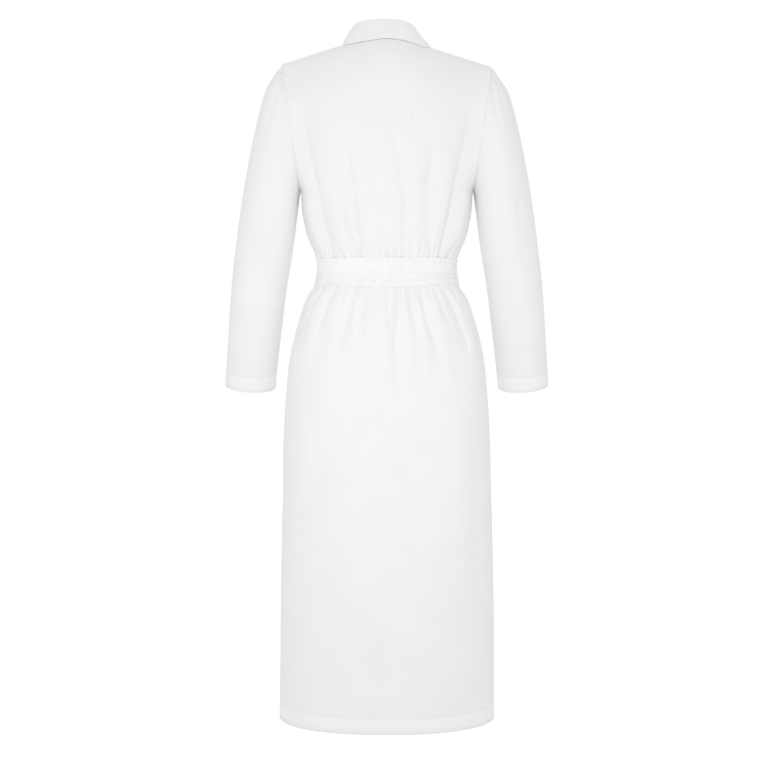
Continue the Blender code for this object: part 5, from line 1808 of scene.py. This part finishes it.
class DressSizes(bpy.types.PropertyGroup):
    """Sizes of the dress's cloth and sewing."""

    cloth_thickness: FloatProperty(
        name="Cloth thickness",
        description="How thick each panel's cloth is",
        default=0.0008,
        min=0.0002,
        unit="LENGTH",
        precision=4,
    )
    hem_depth: FloatProperty(
        name="Skirt hem",
        description="How far the skirt's hem is turned up",
        default=0.026,
        min=0.005,
        unit="LENGTH",
        precision=3,
    )
    sleeve_hem_depth: FloatProperty(
        name="Sleeve hem",
        description="How far each sleeve's hem is turned up",
        default=0.025,
        min=0.005,
        unit="LENGTH",
        precision=3,
    )
    pucker_height: FloatProperty(
        name="Pucker height",
        description="Half the height of the waistband's puckers",
        default=0.00058,
        min=0.0,
        unit="LENGTH",
        precision=4,
    )
    fold_strength: FloatProperty(
        name="Fold strength",
        description="How deep the large folds are, as a share of the solids' own",
        default=0.55,
        min=0.0,
        max=1.2,
        subtype="FACTOR",
    )
    crease_strength: FloatProperty(
        name="Crease strength",
        description="How deep the sharp creases are, as a share of their table's heights",
        default=1.70,
        min=0.0,
        max=2.0,
        subtype="FACTOR",
    )
    stitch_pitch: FloatProperty(
        name="Stitch pitch",
        description="The distance from one stitch to the next",
        default=0.0030,
        min=0.001,
        unit="LENGTH",
        precision=4,
    )
    stitch_length: FloatProperty(
        name="Stitch length",
        description="The length of thread that shows in one stitch",
        default=0.0025,
        min=0.0005,
        unit="LENGTH",
        precision=4,
    )
    thread_width: FloatProperty(
        name="Thread width",
        description="How thick the sewing thread is",
        default=0.00045,
        min=0.0001,
        unit="LENGTH",
        precision=5,
    )
    weave_pitch: FloatProperty(
        name="Weave pitch",
        description="The distance from one thread of the cloth to the next",
        default=0.00055,
        min=0.0001,
        unit="LENGTH",
        precision=5,
    )
    seed: IntProperty(
        name="Seed",
        description="Changes the random part of the puckers, the stitches and the collar",
        default=3,
        min=0,
    )


class DressColours(bpy.types.PropertyGroup):
    """Colours of the dress and the floor."""

    cloth: FloatVectorProperty(
        name="Cloth",
        description="The cloth's main colour",
        subtype="COLOR",
        default=(0.925, 0.925, 0.930),
        min=0.0,
        max=1.0,
    )
    cloth_shade: FloatVectorProperty(
        name="Cloth, darker",
        description="The cloth's colour in its faint darker patches",
        subtype="COLOR",
        default=(0.905, 0.905, 0.912),
        min=0.0,
        max=1.0,
    )
    thread: FloatVectorProperty(
        name="Thread",
        description="The sewing thread's colour",
        subtype="COLOR",
        default=(0.93, 0.93, 0.935),
        min=0.0,
        max=1.0,
    )
    button: FloatVectorProperty(
        name="Buttons",
        description="The buttons' colour",
        subtype="COLOR",
        default=(0.84, 0.84, 0.83),
        min=0.0,
        max=1.0,
    )
    floor: FloatVectorProperty(
        name="Floor",
        description="The floor's colour",
        subtype="COLOR",
        default=(0.90, 0.90, 0.90),
        min=0.0,
        max=1.0,
    )


class DRESS_OT_bodice(bpy.types.Operator):
    """Build the bodice's back and fronts"""

    bl_idname = "dress.bodice"
    bl_label = "Bodice"

    def execute(self, context):
        make_bodice(context.scene.dress_sizes)
        return {"FINISHED"}


class DRESS_OT_waistband(bpy.types.Operator):
    """Build the puckered waistband and its frill"""

    bl_idname = "dress.waistband"
    bl_label = "Waistband"

    def execute(self, context):
        make_waistband(context.scene.dress_sizes)
        return {"FINISHED"}


class DRESS_OT_skirt(bpy.types.Operator):
    """Build the skirt's back and fronts"""

    bl_idname = "dress.skirt"
    bl_label = "Skirt"

    def execute(self, context):
        make_skirt(context.scene.dress_sizes)
        return {"FINISHED"}


class DRESS_OT_sleeves(bpy.types.Operator):
    """Build both sleeves"""

    bl_idname = "dress.sleeves"
    bl_label = "Sleeves"

    def execute(self, context):
        make_sleeves(context.scene.dress_sizes)
        return {"FINISHED"}


class DRESS_OT_collar(bpy.types.Operator):
    """Build the collar and its topstitching"""

    bl_idname = "dress.collar"
    bl_label = "Collar"

    def execute(self, context):
        make_collar(context.scene.dress_sizes)
        return {"FINISHED"}


class DRESS_OT_placket(bpy.types.Operator):
    """Build the placket down the front"""

    bl_idname = "dress.placket"
    bl_label = "Placket"

    def execute(self, context):
        make_placket(context.scene.dress_sizes)
        return {"FINISHED"}


class DRESS_OT_buttons(bpy.types.Operator):
    """Build the buttons, their thread and their holes"""

    bl_idname = "dress.buttons"
    bl_label = "Buttons"

    def execute(self, context):
        make_buttons(context.scene.dress_sizes)
        return {"FINISHED"}


class DRESS_OT_stage(bpy.types.Operator):
    """Set up the floor, the lights and the camera"""

    bl_idname = "dress.stage"
    bl_label = "Studio"

    def execute(self, context):
        make_stage(context.scene.dress_colours)
        return {"FINISHED"}


OPERATORS = (
    DRESS_OT_stage,
    DRESS_OT_bodice,
    DRESS_OT_waistband,
    DRESS_OT_skirt,
    DRESS_OT_sleeves,
    DRESS_OT_collar,
    DRESS_OT_placket,
    DRESS_OT_buttons,
)


class DRESS_PT_panel(bpy.types.Panel):
    """Lists the dress's sizes, colours and pieces"""

    bl_idname = "DRESS_PT_panel"
    bl_label = "Uniform dress"
    bl_space_type = "VIEW_3D"
    bl_region_type = "UI"
    bl_category = "Dress"

    def draw(self, context):
        for settings in (context.scene.dress_sizes, context.scene.dress_colours):
            column = self.layout.column(align=True)
            for name in type(settings).__annotations__:
                column.prop(settings, name)
        column = self.layout.column(align=True)
        for operator in OPERATORS:
            column.operator(operator.bl_idname)


CLASSES = (DressSizes, DressColours, *OPERATORS, DRESS_PT_panel)


def register():
    for cls in CLASSES:
        bpy.utils.register_class(cls)
    bpy.types.Scene.dress_sizes = PointerProperty(type=DressSizes)
    bpy.types.Scene.dress_colours = PointerProperty(type=DressColours)


def unregister():
    del bpy.types.Scene.dress_colours
    del bpy.types.Scene.dress_sizes
    for cls in reversed(CLASSES):
        bpy.utils.unregister_class(cls)


def main():
    """Builds everything in order."""
    register()
    for operator in OPERATORS:
        group, name = operator.bl_idname.split(".")
        getattr(getattr(bpy.ops, group), name)()


if __name__ == "__main__":
    main()
